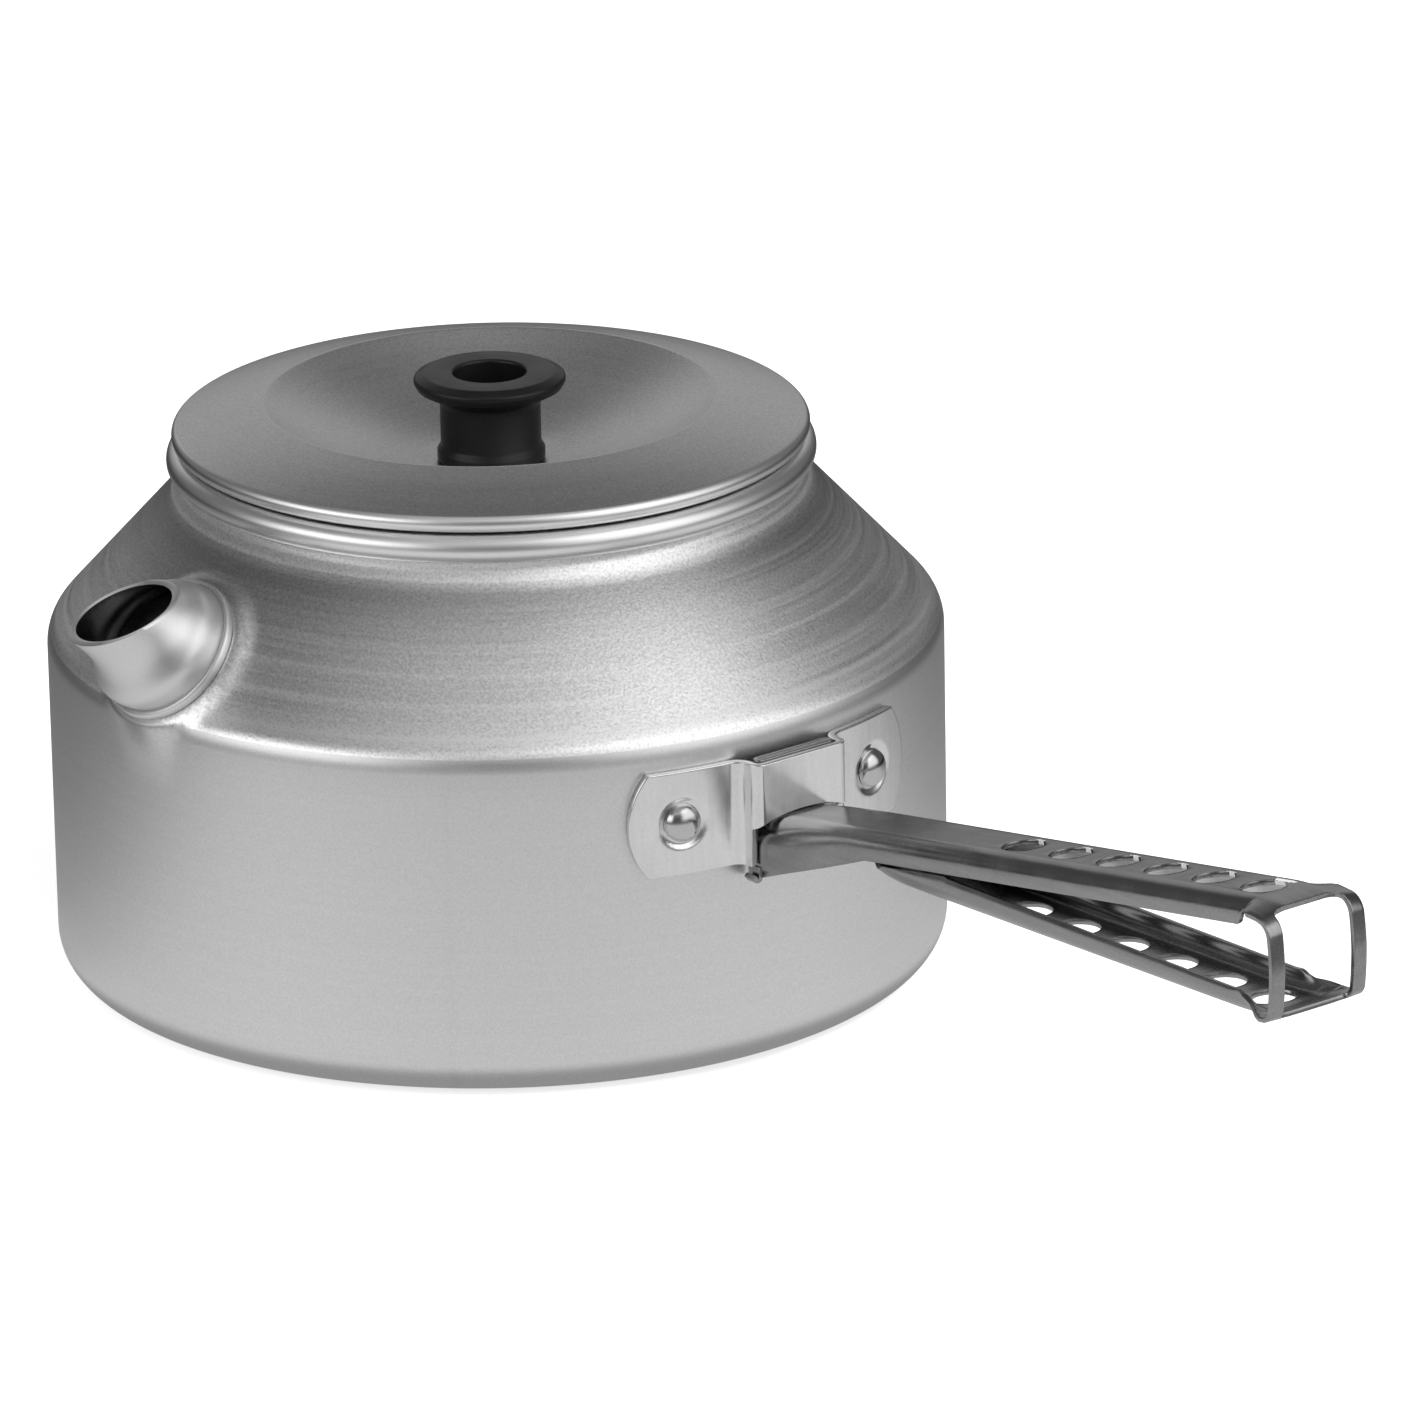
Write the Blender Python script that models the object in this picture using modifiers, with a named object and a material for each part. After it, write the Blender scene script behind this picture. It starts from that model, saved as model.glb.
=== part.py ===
# Camping kettle with a lift-off lid and a perforated handle that pulls down out of its wall bracket.
# The kettle stands on z = 0 with its axis on Z. The handle points along +X and the spout along -Y.
import math

import bmesh
import bpy
from mathutils import Matrix, Vector

mm = 0.001

# Clearances and facet counts
GAP = 0.3 * mm
BODY_STEPS = 48
LID_STEPS = 48
SMALL_STEPS = 28

# Kettle body, spun from one sheet
WALL = 1.0 * mm
BODY_RADIUS = 84.0 * mm
WALL_DRAFT = 0.3 * mm
CORNER_RADIUS = 8.0 * mm
SHOULDER_HEIGHT = 65.9 * mm
SHOULDER_FILLET = 7.0 * mm
NECK_RADIUS = 56.2 * mm
NECK_FILLET = 3.4 * mm
CONE_TOP = 94.6 * mm
CONE_TOP_RADIUS = 57.6 * mm
CURL_RADIUS = 2.75 * mm
CURL_CENTRE_HEIGHT = 98.4 * mm
CURL_TURN = 275

# Spout, crimped into the shoulder; its seat leans along the cone's normal
SPOUT_HEIGHT = 77.4 * mm
SPOUT_STAND = 3.85 * mm
SPOUT_TILT = 41
SPOUT_FLANGE_RADIUS = 14.2 * mm
SPOUT_FLANGE_HEIGHT = 2.0 * mm
SPOUT_DOME_RADIUS = 13.1 * mm
SPOUT_COLLAR_RADIUS = 11.3 * mm
SPOUT_CRIMP = 1.0 * mm
SPOUT_SHEET = 0.9 * mm
SPOUT_LENGTH = 19.0 * mm
LIP_HALF_WIDTH = 8.7 * mm
LIP_HALF_LENGTH = 11.7 * mm
LIP_WALL = 0.8 * mm
SPOUT_STEPS = 32

# Lid, spun from one sheet: a dish, a low crest, a sloping rim, a hem and a skirt
LID_SHEET = 0.9 * mm
LID_RADIUS = 59.6 * mm
HEM_HEIGHT = 3.4 * mm
SKIRT_DEPTH = 6.0 * mm
CREST_RADIUS = 42.3 * mm
CREST_RISE = 4.2 * mm
DISH_DEPTH = 12.2 * mm
DISH_FLOOR_RADIUS = 12.0 * mm

# Knob and its fastening
KNOB_HEIGHT = 16.7 * mm
KNOB_RADIUS = 14.2 * mm
KNOB_STEM_RADIUS = 9.4 * mm
KNOB_FOOT_RADIUS = 10.1 * mm
KNOB_BORE_RADIUS = 6.8 * mm
KNOB_FLOOR = 4.2 * mm
KNOB_RIM = 2.9 * mm
SCREW_RADIUS = 2.0 * mm
SCREW_HEAD_RADIUS = 4.0 * mm
SCREW_HEAD_HEIGHT = 2.6 * mm
WASHER_RADIUS = 6.0 * mm
WASHER_THICKNESS = 1.0 * mm
NUT_ACROSS_FLATS = 7.0 * mm
NUT_HEIGHT = 3.2 * mm

# Handle bracket: two wings round the wall and a pocket, open above and below
BRACKET_SHEET = 1.5 * mm
BRACKET_HEIGHT = 20.0 * mm
BRACKET_MIDDLE = 51.4 * mm
BRACKET_SEAT_GAP = 0.15 * mm
WING_ANGLE = 22.4
WING_END_RADIUS = 15.0 * mm
POCKET_DEPTH = 4.35 * mm
POCKET_HALF_WIDTH = 9.5 * mm
POCKET_BEND = 2.2 * mm
WING_BEND = 2.4 * mm
ARCH_RISE = 6.3 * mm
ARCH_CROWN = 3.2 * mm

# Rivets through wings and wall
RIVET_ANGLE = 15.3
RIVET_HEAD_RADIUS = 3.65 * mm
RIVET_HEAD_HEIGHT = 2.4 * mm
RIVET_SHANK_RADIUS = 2.2 * mm
RIVET_TAIL_RADIUS = 3.3 * mm
RIVET_TAIL_HEIGHT = 1.2 * mm

# Handle, one strip of steel sheet folded back on itself; lengths along it start at the wall
HANDLE_SHEET = 1.0 * mm
HANDLE_HALF_WIDTH = 8.0 * mm
HANDLE_BEND = 2.6 * mm
NECK_BEND = 4.5 * mm
NECK_LENGTH = 31.8 * mm
SIDE_PLATE_DROP = 3.3 * mm
LUG_REACH = 3.0 * mm
LUG_LENGTH = 4.0 * mm
PLUG_DROP = 0.4 * mm
PLUG_CORNER = 1.7 * mm

UPPER_DROP = 1.45 * mm
UPPER_SLOPE = 0.1465
UPPER_FLANGE = 5.2 * mm
UPPER_FLANGE_LENGTH = 135.5 * mm
UPPER_LENGTH = 144.6 * mm
UPPER_END_DROP = 1.5 * mm

LOWER_DROP = 3.15 * mm
LOWER_SLOPE = 0.014
LOWER_FLANGE = 5.2 * mm
LOWER_FLANGE_TAPER = 0.011
LOWER_FLANGE_ANGLE = 98
LOWER_TIP_REACH = 35.5 * mm
LOWER_FLANGE_LENGTH = 137.0 * mm
LOWER_LENGTH = 146.8 * mm
LOWER_END_RISE = 1.6 * mm
FULCRUM_REACH = 55.5 * mm
FULCRUM_GAP = 0.55 * mm
TONGUE_HALF_WIDTH = 5.2 * mm
TONGUE_GAP = 0.6 * mm
NOSE_GAP = 0.5 * mm
NOSE_BEND = 2.6 * mm

HOLE_RADIUS = 4.1 * mm
HOLE_COUNT = 6
UPPER_HOLE_PITCH = 13.1 * mm
UPPER_HOLE_REACH = 133.8 * mm
LOWER_HOLE_PITCH = 13.3 * mm
LOWER_HOLE_REACH = 136.4 * mm

END_HALF_WIDTH = 11.2 * mm
STRAP_WIDTH = 3.1 * mm
STRAP_BEND = 4.6 * mm
STRAP_START_ANGLE = 80
STRAP_LEDGE = 0.4 * mm
STRAP_BOW = 0.4 * mm

# Heights and radii that follow from the sizes above
CURL_TOP = CURL_CENTRE_HEIGHT + CURL_RADIUS
CURL_CENTRE_RADIUS = NECK_RADIUS - WALL + CURL_RADIUS
LID_BOTTOM = CURL_TOP + GAP
LID_EDGE_TOP = LID_BOTTOM + HEM_HEIGHT
CREST_TOP = LID_EDGE_TOP + CREST_RISE
DISH_TOP = CREST_TOP - DISH_DEPTH
KNOB_BOTTOM = DISH_TOP + GAP
BRACKET_INNER_RADIUS = BODY_RADIUS + BRACKET_SEAT_GAP
WING_RADIUS = BRACKET_INNER_RADIUS + BRACKET_SHEET
POCKET_FRONT = BRACKET_INNER_RADIUS + POCKET_DEPTH + BRACKET_SHEET
BRACKET_TOP = BRACKET_MIDDLE + BRACKET_HEIGHT / 2
BRACKET_FOOT = BRACKET_MIDDLE - BRACKET_HEIGHT / 2
NECK_HALF_WIDTH = POCKET_HALF_WIDTH - GAP
NECK_END = BODY_RADIUS + NECK_LENGTH
SIDE_PLATE_FOOT = BRACKET_FOOT - SIDE_PLATE_DROP
UPPER_START = BRACKET_MIDDLE - UPPER_DROP
UPPER_FLANGE_END = BODY_RADIUS + UPPER_FLANGE_LENGTH
UPPER_END = BODY_RADIUS + UPPER_LENGTH
FULCRUM = BODY_RADIUS + FULCRUM_REACH
LOWER_START = UPPER_START - LOWER_DROP
LOWER_TIP = BODY_RADIUS + LOWER_TIP_REACH
LOWER_FLANGE_END = BODY_RADIUS + LOWER_FLANGE_LENGTH
LOWER_END = BODY_RADIUS + LOWER_LENGTH


def clear_scene():
    for item in list(bpy.data.objects):
        bpy.data.objects.remove(item, do_unlink=True)


def make_collection(name):
    collection = bpy.data.collections.new(name)
    bpy.context.scene.collection.children.link(collection)
    return collection


def make_material(name, colour, metallic, roughness):
    material = bpy.data.materials.new(name)
    material.use_nodes = True
    shader = material.node_tree.nodes["Principled BSDF"]
    shader.inputs["Base Color"].default_value = (*colour, 1.0)
    shader.inputs["Metallic"].default_value = metallic
    shader.inputs["Roughness"].default_value = roughness
    return material


def add_object(name, mesh, material, collection):
    item = bpy.data.objects.new(name, mesh)
    collection.objects.link(item)
    if material:
        mesh.materials.append(material)
    return item


def mesh_from(name, vertices, edges=(), faces=()):
    mesh = bpy.data.meshes.new(name)
    mesh.from_pydata([tuple(v) for v in vertices], list(edges), list(faces))
    mesh.update()
    return mesh


def smooth(item, angle=35):
    item.data.shade_smooth()
    item.data.set_sharp_from_angle(angle=math.radians(angle))


def arc(centre, radius, start, end, steps):
    """Points on a circle in a plane, angles in degrees."""
    points = []
    for i in range(steps + 1):
        a = math.radians(start + (end - start) * i / steps)
        points.append((centre[0] + radius * math.cos(a), centre[1] + radius * math.sin(a)))
    return points


def thickened(path, thickness):
    """Closed outline of a strip: the path, and the same path moved to its right by the thickness."""
    shifted = []
    for i, point in enumerate(path):
        before = Vector(path[max(i - 1, 0)])
        after = Vector(path[min(i + 1, len(path) - 1)])
        into = (Vector(point) - before).normalized() if i > 0 else (after - Vector(point)).normalized()
        out_of = (after - Vector(point)).normalized() if i < len(path) - 1 else into
        bisector = (into + out_of).normalized()
        right = Vector((bisector.y, -bisector.x))
        stretch = max(right.dot(Vector((into.y, -into.x))), 0.5)
        shifted.append(tuple(Vector(point) + right * thickness / stretch))
    return list(path) + shifted[::-1]


def fillet(corner, before, after, radius, steps):
    """Points that round the corner between two straight runs."""
    corner, before, after = Vector(corner), Vector(before), Vector(after)
    to_before = (before - corner).normalized()
    to_after = (after - corner).normalized()
    half = math.acos(max(-1.0, min(1.0, to_before.dot(to_after)))) / 2
    centre = corner + (to_before + to_after).normalized() * radius / math.sin(half)
    start = corner + to_before * radius / math.tan(half) - centre
    turn = start.angle_signed(corner + to_after * radius / math.tan(half) - centre)
    points = []
    for i in range(steps + 1):
        points.append(tuple(centre + Matrix.Rotation(-turn * i / steps, 2) @ start))
    return points


def turned(name, outline, steps, material, collection, closed=True):
    """A closed outline of radius and height, or an open one that ends on the axis, spun about Z."""
    vertices = [(radius, 0, height) for radius, height in outline]
    count = len(vertices)
    edges = [(i, i + 1) for i in range(count - 1)]
    if closed:
        edges.append((count - 1, 0))
    item = add_object(name, mesh_from(name, vertices, edges), material, collection)
    spin = item.modifiers.new("Spin", "SCREW")
    spin.axis = "Z"
    spin.angle = math.tau
    spin.steps = steps
    spin.render_steps = steps
    spin.use_merge_vertices = True
    spin.merge_threshold = 0.00001
    spin.use_smooth_shade = True
    return item


def lofted(name, rings, material, collection, ring_closed=False, loop_closed=False):
    """Quads between rings of the same number of points."""
    count = len(rings[0])
    vertices = [point for ring in rings for point in ring]
    across = count if ring_closed else count - 1
    along = len(rings) if loop_closed else len(rings) - 1
    faces = []
    for i in range(along):
        low = i * count
        high = ((i + 1) % len(rings)) * count
        for j in range(across):
            k = (j + 1) % count
            faces.append((low + j, low + k, high + k, high + j))
    mesh = mesh_from(name, vertices, (), faces)
    work = bmesh.new()
    work.from_mesh(mesh)
    bmesh.ops.recalc_face_normals(work, faces=work.faces)
    work.to_mesh(mesh)
    work.free()
    return add_object(name, mesh, material, collection)


def face_along(item, direction):
    """Turns an open surface's faces so that most of their area looks along a direction."""
    total = sum(face.normal.dot(direction) * face.area for face in item.data.polygons)
    if total < 0:
        item.data.flip_normals()


def face_away(item, point):
    """Turns the faces of an upright tube so that they look away from a point inside it."""
    total = sum(face.normal.dot(face.center - point) * face.area for face in item.data.polygons)
    if total < 0:
        item.data.flip_normals()


def prism(name, outline, start, length, axis, material, collection):
    """A flat outline pushed along X, Y or Z. The outline's two numbers are the other two axes in order."""
    def place(a, b, c):
        return {"X": (c, a, b), "Y": (a, c, b), "Z": (a, b, c)}[axis]

    count = len(outline)
    vertices = [place(a, b, start) for a, b in outline] + [place(a, b, start + length) for a, b in outline]
    faces = [tuple(range(count)), tuple(range(2 * count - 1, count - 1, -1))]
    for i in range(count):
        k = (i + 1) % count
        faces.append((i, k, k + count, i + count))
    mesh = mesh_from(name, vertices, (), faces)
    work = bmesh.new()
    work.from_mesh(mesh)
    bmesh.ops.recalc_face_normals(work, faces=work.faces)
    work.to_mesh(mesh)
    work.free()
    return add_object(name, mesh, material, collection)


def cylinder(name, radius, length, steps, collection):
    mesh = bpy.data.meshes.new(name)
    work = bmesh.new()
    bmesh.ops.create_cone(
        work, cap_ends=True, segments=steps, radius1=radius, radius2=radius, depth=length
    )
    work.to_mesh(mesh)
    work.free()
    return add_object(name, mesh, None, collection)


def as_tool(item):
    item.hide_render = True
    item.display_type = "WIRE"
    return item


def solidify(item, thickness):
    shell = item.modifiers.new("Sheet", "SOLIDIFY")
    shell.thickness = thickness
    shell.offset = -1
    shell.use_even_offset = True


def boolean(item, tool, operation="DIFFERENCE"):
    step = item.modifiers.new(operation.title() + " " + tool.name, "BOOLEAN")
    step.operation = operation
    step.solver = "EXACT"
    step.object = as_tool(tool)


def ease(t):
    t = max(0.0, min(1.0, t))
    return t * t * (3 - 2 * t)


# The kettle's outer surface

def cone_lean():
    """Angle between the shoulder cone's side and the vertical."""
    return math.atan((BODY_RADIUS - CONE_TOP_RADIUS) / (CONE_TOP - SHOULDER_HEIGHT))


def skin_radius(height):
    """Outer radius of the shoulder at a height, its fillet with the wall included."""
    lean = cone_lean()
    fillet_run = SHOULDER_FILLET * math.tan(lean / 2)
    wall_end = SHOULDER_HEIGHT - fillet_run
    if height < wall_end:
        return BODY_RADIUS
    if height < SHOULDER_HEIGHT + fillet_run * math.cos(lean):
        rise = height - wall_end
        return BODY_RADIUS - SHOULDER_FILLET + math.sqrt(SHOULDER_FILLET ** 2 - rise ** 2)
    return BODY_RADIUS - (height - SHOULDER_HEIGHT) * math.tan(lean)


def body_path():
    """Outer face of the sheet, from the middle of the base up to the free end of the rim's curl."""
    corner = (BODY_RADIUS - WALL_DRAFT, 0)
    shoulder = (BODY_RADIUS, SHOULDER_HEIGHT)
    slope = (CONE_TOP_RADIUS - BODY_RADIUS) / (CONE_TOP - SHOULDER_HEIGHT)
    neck_height = CONE_TOP + (NECK_RADIUS - CONE_TOP_RADIUS) / slope
    neck = (NECK_RADIUS, neck_height)
    rim = (NECK_RADIUS, CURL_CENTRE_HEIGHT)
    path = [(0, 0)]
    path += fillet(corner, (0, 0), shoulder, CORNER_RADIUS, 5)
    path += fillet(shoulder, corner, neck, SHOULDER_FILLET, 4)
    path += fillet(neck, shoulder, rim, NECK_FILLET, 3)
    path.append(rim)
    return path


def build_body(material, parts, tools):
    outer = body_path()
    inner = thickened(outer, -WALL)[len(outer):][::-1]
    inner[0] = (0, WALL)
    curl = (CURL_CENTRE_RADIUS, CURL_CENTRE_HEIGHT)
    # up the inside, over the rim's curl and back under it, then down the outside
    outline = inner[:-1]
    outline += arc(curl, CURL_RADIUS, 180, 180 - CURL_TURN, 8)
    outline += arc(curl, CURL_RADIUS - WALL, 180 - CURL_TURN, 180, 6)
    outline += outer[::-1][1:]
    body = turned("kettle_body", outline, BODY_STEPS, material, parts, closed=False)

    collar = cylinder("spout_hole", SPOUT_COLLAR_RADIUS + GAP, 16 * mm, SPOUT_STEPS, tools)
    collar.location = spout_centre()
    collar.rotation_euler = (math.radians(90 - SPOUT_TILT), 0, 0)
    boolean(body, collar)
    for side in (-1, 1):
        boolean(body, rivet_hole(side, tools))
    return body


def radial(item, angle, height, distance):
    """Puts an object whose own Z is its axis on a line that leaves the kettle's axis at an angle."""
    a = math.radians(angle)
    item.location = (distance * math.cos(a), distance * math.sin(a), height)
    item.rotation_euler = (0, math.pi / 2, a)
    return item


def rivet_hole(side, tools):
    hole = cylinder(f"rivet_hole_{side}", RIVET_SHANK_RADIUS + GAP, 10 * mm, 16, tools)
    return radial(hole, side * RIVET_ANGLE, BRACKET_MIDDLE, BODY_RADIUS)


# Spout

def spout_axes():
    """The seat's outward direction and the direction in the seat that runs down the cone."""
    tilt = math.radians(SPOUT_TILT)
    outward = Vector((0, -math.cos(tilt), math.sin(tilt)))
    down = Vector((0, -math.sin(tilt), -math.cos(tilt)))
    return outward, down


def spout_centre():
    """Middle of the crease between flange and dome."""
    return Vector((0, -skin_radius(SPOUT_HEIGHT) - SPOUT_STAND, SPOUT_HEIGHT))


def skin_offset(point, outward):
    """How far a point moves outward until it lies on the shoulder; inward is negative."""
    low, high = -12 * mm, 12 * mm
    for _ in range(40):
        middle = (low + high) / 2
        moved = point + outward * middle
        if math.hypot(moved.x, moved.y) > skin_radius(moved.z):
            high = middle
        else:
            low = middle
    return low


def seat_ring(radius, height):
    """A circle about the spout's seat whose points stand at a height over the shoulder."""
    outward, down = spout_axes()
    centre = spout_centre()
    ring = []
    for i in range(SPOUT_STEPS):
        a = math.tau * i / SPOUT_STEPS
        point = centre + Vector((1, 0, 0)) * radius * math.cos(a) + down * radius * math.sin(a)
        ring.append(point + outward * (skin_offset(point, outward) + height))
    return ring


def spout_ring(upper, lower, half_width):
    """An ellipse between an upper and a lower point, each given as distance down the seat and out of it."""
    outward, down = spout_axes()
    centre = spout_centre()
    top = centre + down * upper[0] + outward * upper[1]
    bottom = centre + down * lower[0] + outward * lower[1]
    ring = []
    for i in range(SPOUT_STEPS):
        a = math.tau * i / SPOUT_STEPS
        across = Vector((1, 0, 0)) * half_width * math.cos(a)
        ring.append((top + bottom) / 2 + across + (bottom - top) / 2 * math.sin(a))
    return ring


def spout_sides():
    """Upper and lower outline of dome and tube seen from the side, and the half width at each step.

    The upper side leans in to the lip at once. The lower side bulges over the flange, then necks in
    and runs straight out to the lip.
    """
    r = SPOUT_DOME_RADIUS
    neck = LIP_HALF_WIDTH + SPOUT_SHEET
    lip_top = SPOUT_LENGTH - math.sqrt((2 * LIP_HALF_LENGTH) ** 2 - (r - 2.7 * mm + neck) ** 2)
    upper = [(0, 0), (0.4, 0.35), (1.2, 0.6), (1.8, 0.72), (2.2, 0.83), (2.5, 0.9), (2.7, 1.0)]
    lower = [(0, 0), (-0.9, 0.18), (-0.2, 0.3), (1.6, 0.41), (2.9, 0.54), (3.5, 0.74), (3.5, 1.0)]
    width = [0, -0.02, 0.11, 0.39, 0.64, 0.84, 1.0]
    return (
        [(inset * mm - r, rise * lip_top) for inset, rise in upper],
        [(r - inset * mm, rise * SPOUT_LENGTH) for inset, rise in lower],
        [r + (LIP_HALF_WIDTH - r) * share for share in width],
    )


def build_spout(material, parts):
    upper, lower, width = spout_sides()
    upper_inner = thickened(upper, SPOUT_SHEET)[len(upper):][::-1]
    lower_inner = thickened(lower, -SPOUT_SHEET)[len(lower):][::-1]
    lip_middle = (Vector(upper[-1]) + Vector(lower[-1])) / 2
    lip_share = 1 - 2.2 * LIP_WALL / LIP_HALF_LENGTH
    lip_inside = [lip_middle.lerp(Vector(side[-1]), lip_share) for side in (upper, lower)]
    bore = SPOUT_COLLAR_RADIUS - SPOUT_SHEET
    under = -WALL - GAP
    rings = [
        seat_ring(SPOUT_FLANGE_RADIUS, GAP),
        seat_ring(SPOUT_FLANGE_RADIUS, SPOUT_FLANGE_HEIGHT * 0.75),
        seat_ring(SPOUT_DOME_RADIUS + 0.6 * mm, SPOUT_FLANGE_HEIGHT),
    ]
    rings += [spout_ring(*step) for step in zip(upper, lower, width)]
    rings.append(spout_ring(*lip_inside, LIP_HALF_WIDTH - LIP_WALL))
    inside = list(zip(upper_inner, lower_inner, width))[1:-1]
    rings += [spout_ring(u, l, w - SPOUT_SHEET) for u, l, w in reversed(inside)]
    rings += [
        seat_ring(bore, SPOUT_FLANGE_HEIGHT),
        seat_ring(bore, under - SPOUT_SHEET),
        seat_ring(SPOUT_COLLAR_RADIUS + SPOUT_CRIMP, under - SPOUT_SHEET),
        seat_ring(SPOUT_COLLAR_RADIUS + SPOUT_CRIMP, under),
        seat_ring(SPOUT_COLLAR_RADIUS, under),
        seat_ring(SPOUT_COLLAR_RADIUS, GAP),
    ]
    spout = lofted("spout", rings, material, parts, ring_closed=True, loop_closed=True)
    smooth(spout)
    return spout


# Lid, knob and fastening

def build_lid(material, parts):
    hem = HEM_HEIGHT / 2
    inner_skirt = NECK_RADIUS - WALL - GAP
    fold = (LID_RADIUS - hem, LID_EDGE_TOP - hem)
    dish_start = (DISH_FLOOR_RADIUS, DISH_TOP)
    crest = (CREST_RADIUS, CREST_TOP)
    edge = (fold[0], LID_EDGE_TOP)
    skirt_top = (inner_skirt, LID_BOTTOM)
    skirt_foot = (inner_skirt, LID_BOTTOM - SKIRT_DEPTH)
    path = [(SCREW_RADIUS + GAP, DISH_TOP), dish_start]
    # the dish is a cone that flattens out towards its floor
    for i in range(1, 5):
        t = i / 5
        radius = DISH_FLOOR_RADIUS + (CREST_RADIUS - DISH_FLOOR_RADIUS) * t
        path.append((radius, DISH_TOP + (CREST_TOP - DISH_TOP) * t ** 1.35))
    path += fillet(crest, path[-1], edge, 2.0 * mm, 3)
    path += arc(fold, hem, 78, -90, 6)
    path += fillet(skirt_top, (fold[0], LID_BOTTOM), skirt_foot, 1.3 * mm, 2)
    path.append(skirt_foot)
    outline = thickened(path, LID_SHEET)
    lid = turned("lid", outline, LID_STEPS, material, parts)
    return lid


def build_knob(material, parts):
    top = KNOB_BOTTOM + KNOB_HEIGHT
    floor = KNOB_BOTTOM + KNOB_FLOOR
    rim_foot = top - KNOB_RIM
    outline = [
        (KNOB_BORE_RADIUS, floor),
        (KNOB_BORE_RADIUS, top - 0.5 * mm),
        (KNOB_BORE_RADIUS + 0.5 * mm, top),
        (KNOB_RADIUS - 1.7 * mm, top),
        (KNOB_RADIUS - 0.5 * mm, top - 0.6 * mm),
        (KNOB_RADIUS, top - 1.5 * mm),
        (KNOB_RADIUS - 0.5 * mm, rim_foot),
    ]
    outline += arc(
        (KNOB_STEM_RADIUS + 3.4 * mm, rim_foot - 4.6 * mm), 3.4 * mm, 100, 180, 3
    )
    outline += [
        (KNOB_STEM_RADIUS, KNOB_BOTTOM + 3.2 * mm),
        (KNOB_FOOT_RADIUS, KNOB_BOTTOM + 1.6 * mm),
        (KNOB_FOOT_RADIUS, KNOB_BOTTOM),
        (SCREW_RADIUS + GAP, KNOB_BOTTOM),
        (SCREW_RADIUS + GAP, floor),
    ]
    return turned("lid_knob", outline, 40, material, parts)


def build_fastening(material, parts):
    head_seat = KNOB_BOTTOM + KNOB_FLOOR + GAP
    head_top = head_seat + SCREW_HEAD_HEIGHT
    washer_top = DISH_TOP - LID_SHEET - GAP
    washer_foot = washer_top - WASHER_THICKNESS
    nut_top = washer_foot - GAP
    nut_foot = nut_top - NUT_HEIGHT
    screw = [
        (0, head_top),
        (SCREW_HEAD_RADIUS - 1.2 * mm, head_top - 0.1 * mm),
        (SCREW_HEAD_RADIUS - 0.3 * mm, head_top - 0.7 * mm),
        (SCREW_HEAD_RADIUS, head_top - 1.4 * mm),
        (SCREW_HEAD_RADIUS, head_seat),
        (SCREW_RADIUS, head_seat),
        (SCREW_RADIUS, nut_foot - 0.6 * mm),
        (SCREW_RADIUS - 0.5 * mm, nut_foot - 1.1 * mm),
        (0, nut_foot - 1.1 * mm),
    ]
    turned("knob_screw", screw, SMALL_STEPS, material, parts, closed=False)
    bore = SCREW_RADIUS + GAP
    washer = [
        (bore, washer_top),
        (WASHER_RADIUS, washer_top),
        (WASHER_RADIUS, washer_foot),
        (bore, washer_foot),
    ]
    turned("knob_washer", washer, SMALL_STEPS, material, parts)
    corner = NUT_ACROSS_FLATS / math.sqrt(3)
    rings = []
    for radius, height in (
        (bore, nut_foot), (corner, nut_foot), (corner, nut_top), (bore, nut_top)
    ):
        rings.append([
            Vector((radius * math.cos(math.tau * i / 6), radius * math.sin(math.tau * i / 6), height))
            for i in range(6)
        ])
    lofted("knob_nut", rings, material, parts, ring_closed=True, loop_closed=True)


# Bracket and rivets

def bracket_path():
    """Outer face of the bracket in plan, from the middle of the pocket's front round to a wing's start."""
    side = POCKET_HALF_WIDTH + BRACKET_SHEET
    bend_centre_y = side + WING_BEND
    reach = WING_RADIUS + WING_BEND
    bend_centre_x = math.sqrt(reach ** 2 - bend_centre_y ** 2)
    meets_wing = math.degrees(math.atan2(bend_centre_y, bend_centre_x))
    path = [(POCKET_FRONT, 0)]
    path += arc((POCKET_FRONT - POCKET_BEND, side - POCKET_BEND), POCKET_BEND, 0, 90, 4)
    path += arc((bend_centre_x, bend_centre_y), WING_BEND, -90, -180 + meets_wing, 4)
    return path, meets_wing


def build_bracket(material, parts, tools):
    plan, wing_start = bracket_path()
    wing_steps = 5
    rows = 9
    rings = []
    for row in range(rows):
        height = BRACKET_FOOT + BRACKET_HEIGHT * row / (rows - 1)
        from_middle = height - BRACKET_MIDDLE
        cut_back = math.degrees(
            (WING_END_RADIUS - math.sqrt(WING_END_RADIUS ** 2 - from_middle ** 2)) / WING_RADIUS
        )
        half = list(plan)
        for i in range(1, wing_steps + 1):
            a = math.radians(wing_start + (WING_ANGLE - cut_back - wing_start) * i / wing_steps)
            half.append((WING_RADIUS * math.cos(a), WING_RADIUS * math.sin(a)))
        whole = [(x, -y) for x, y in reversed(half[1:])] + half
        rings.append([Vector((x, y, height)) for x, y in whole])
    bracket = lofted("handle_bracket", rings, material, parts)
    face_along(bracket, Vector((1, 0, 0)))
    solidify(bracket, BRACKET_SHEET)

    half_span = POCKET_HALF_WIDTH + BRACKET_SHEET + 0.6 * mm
    below = BRACKET_FOOT - mm
    arch = [(-half_span, below)]
    for x, z in arc((0, 0), 1.0, 180, 0, 12):
        arch.append((half_span * x, BRACKET_FOOT + ARCH_RISE + ARCH_CROWN * z))
    arch.append((half_span, below))
    front = POCKET_FRONT - BRACKET_SHEET
    boolean(bracket, prism("arch", arch, front - 0.4 * mm, 4 * mm, "X", None, tools))
    for side_sign in (-1, 1):
        boolean(bracket, rivet_hole(side_sign, tools))
    smooth(bracket)
    return bracket


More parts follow.
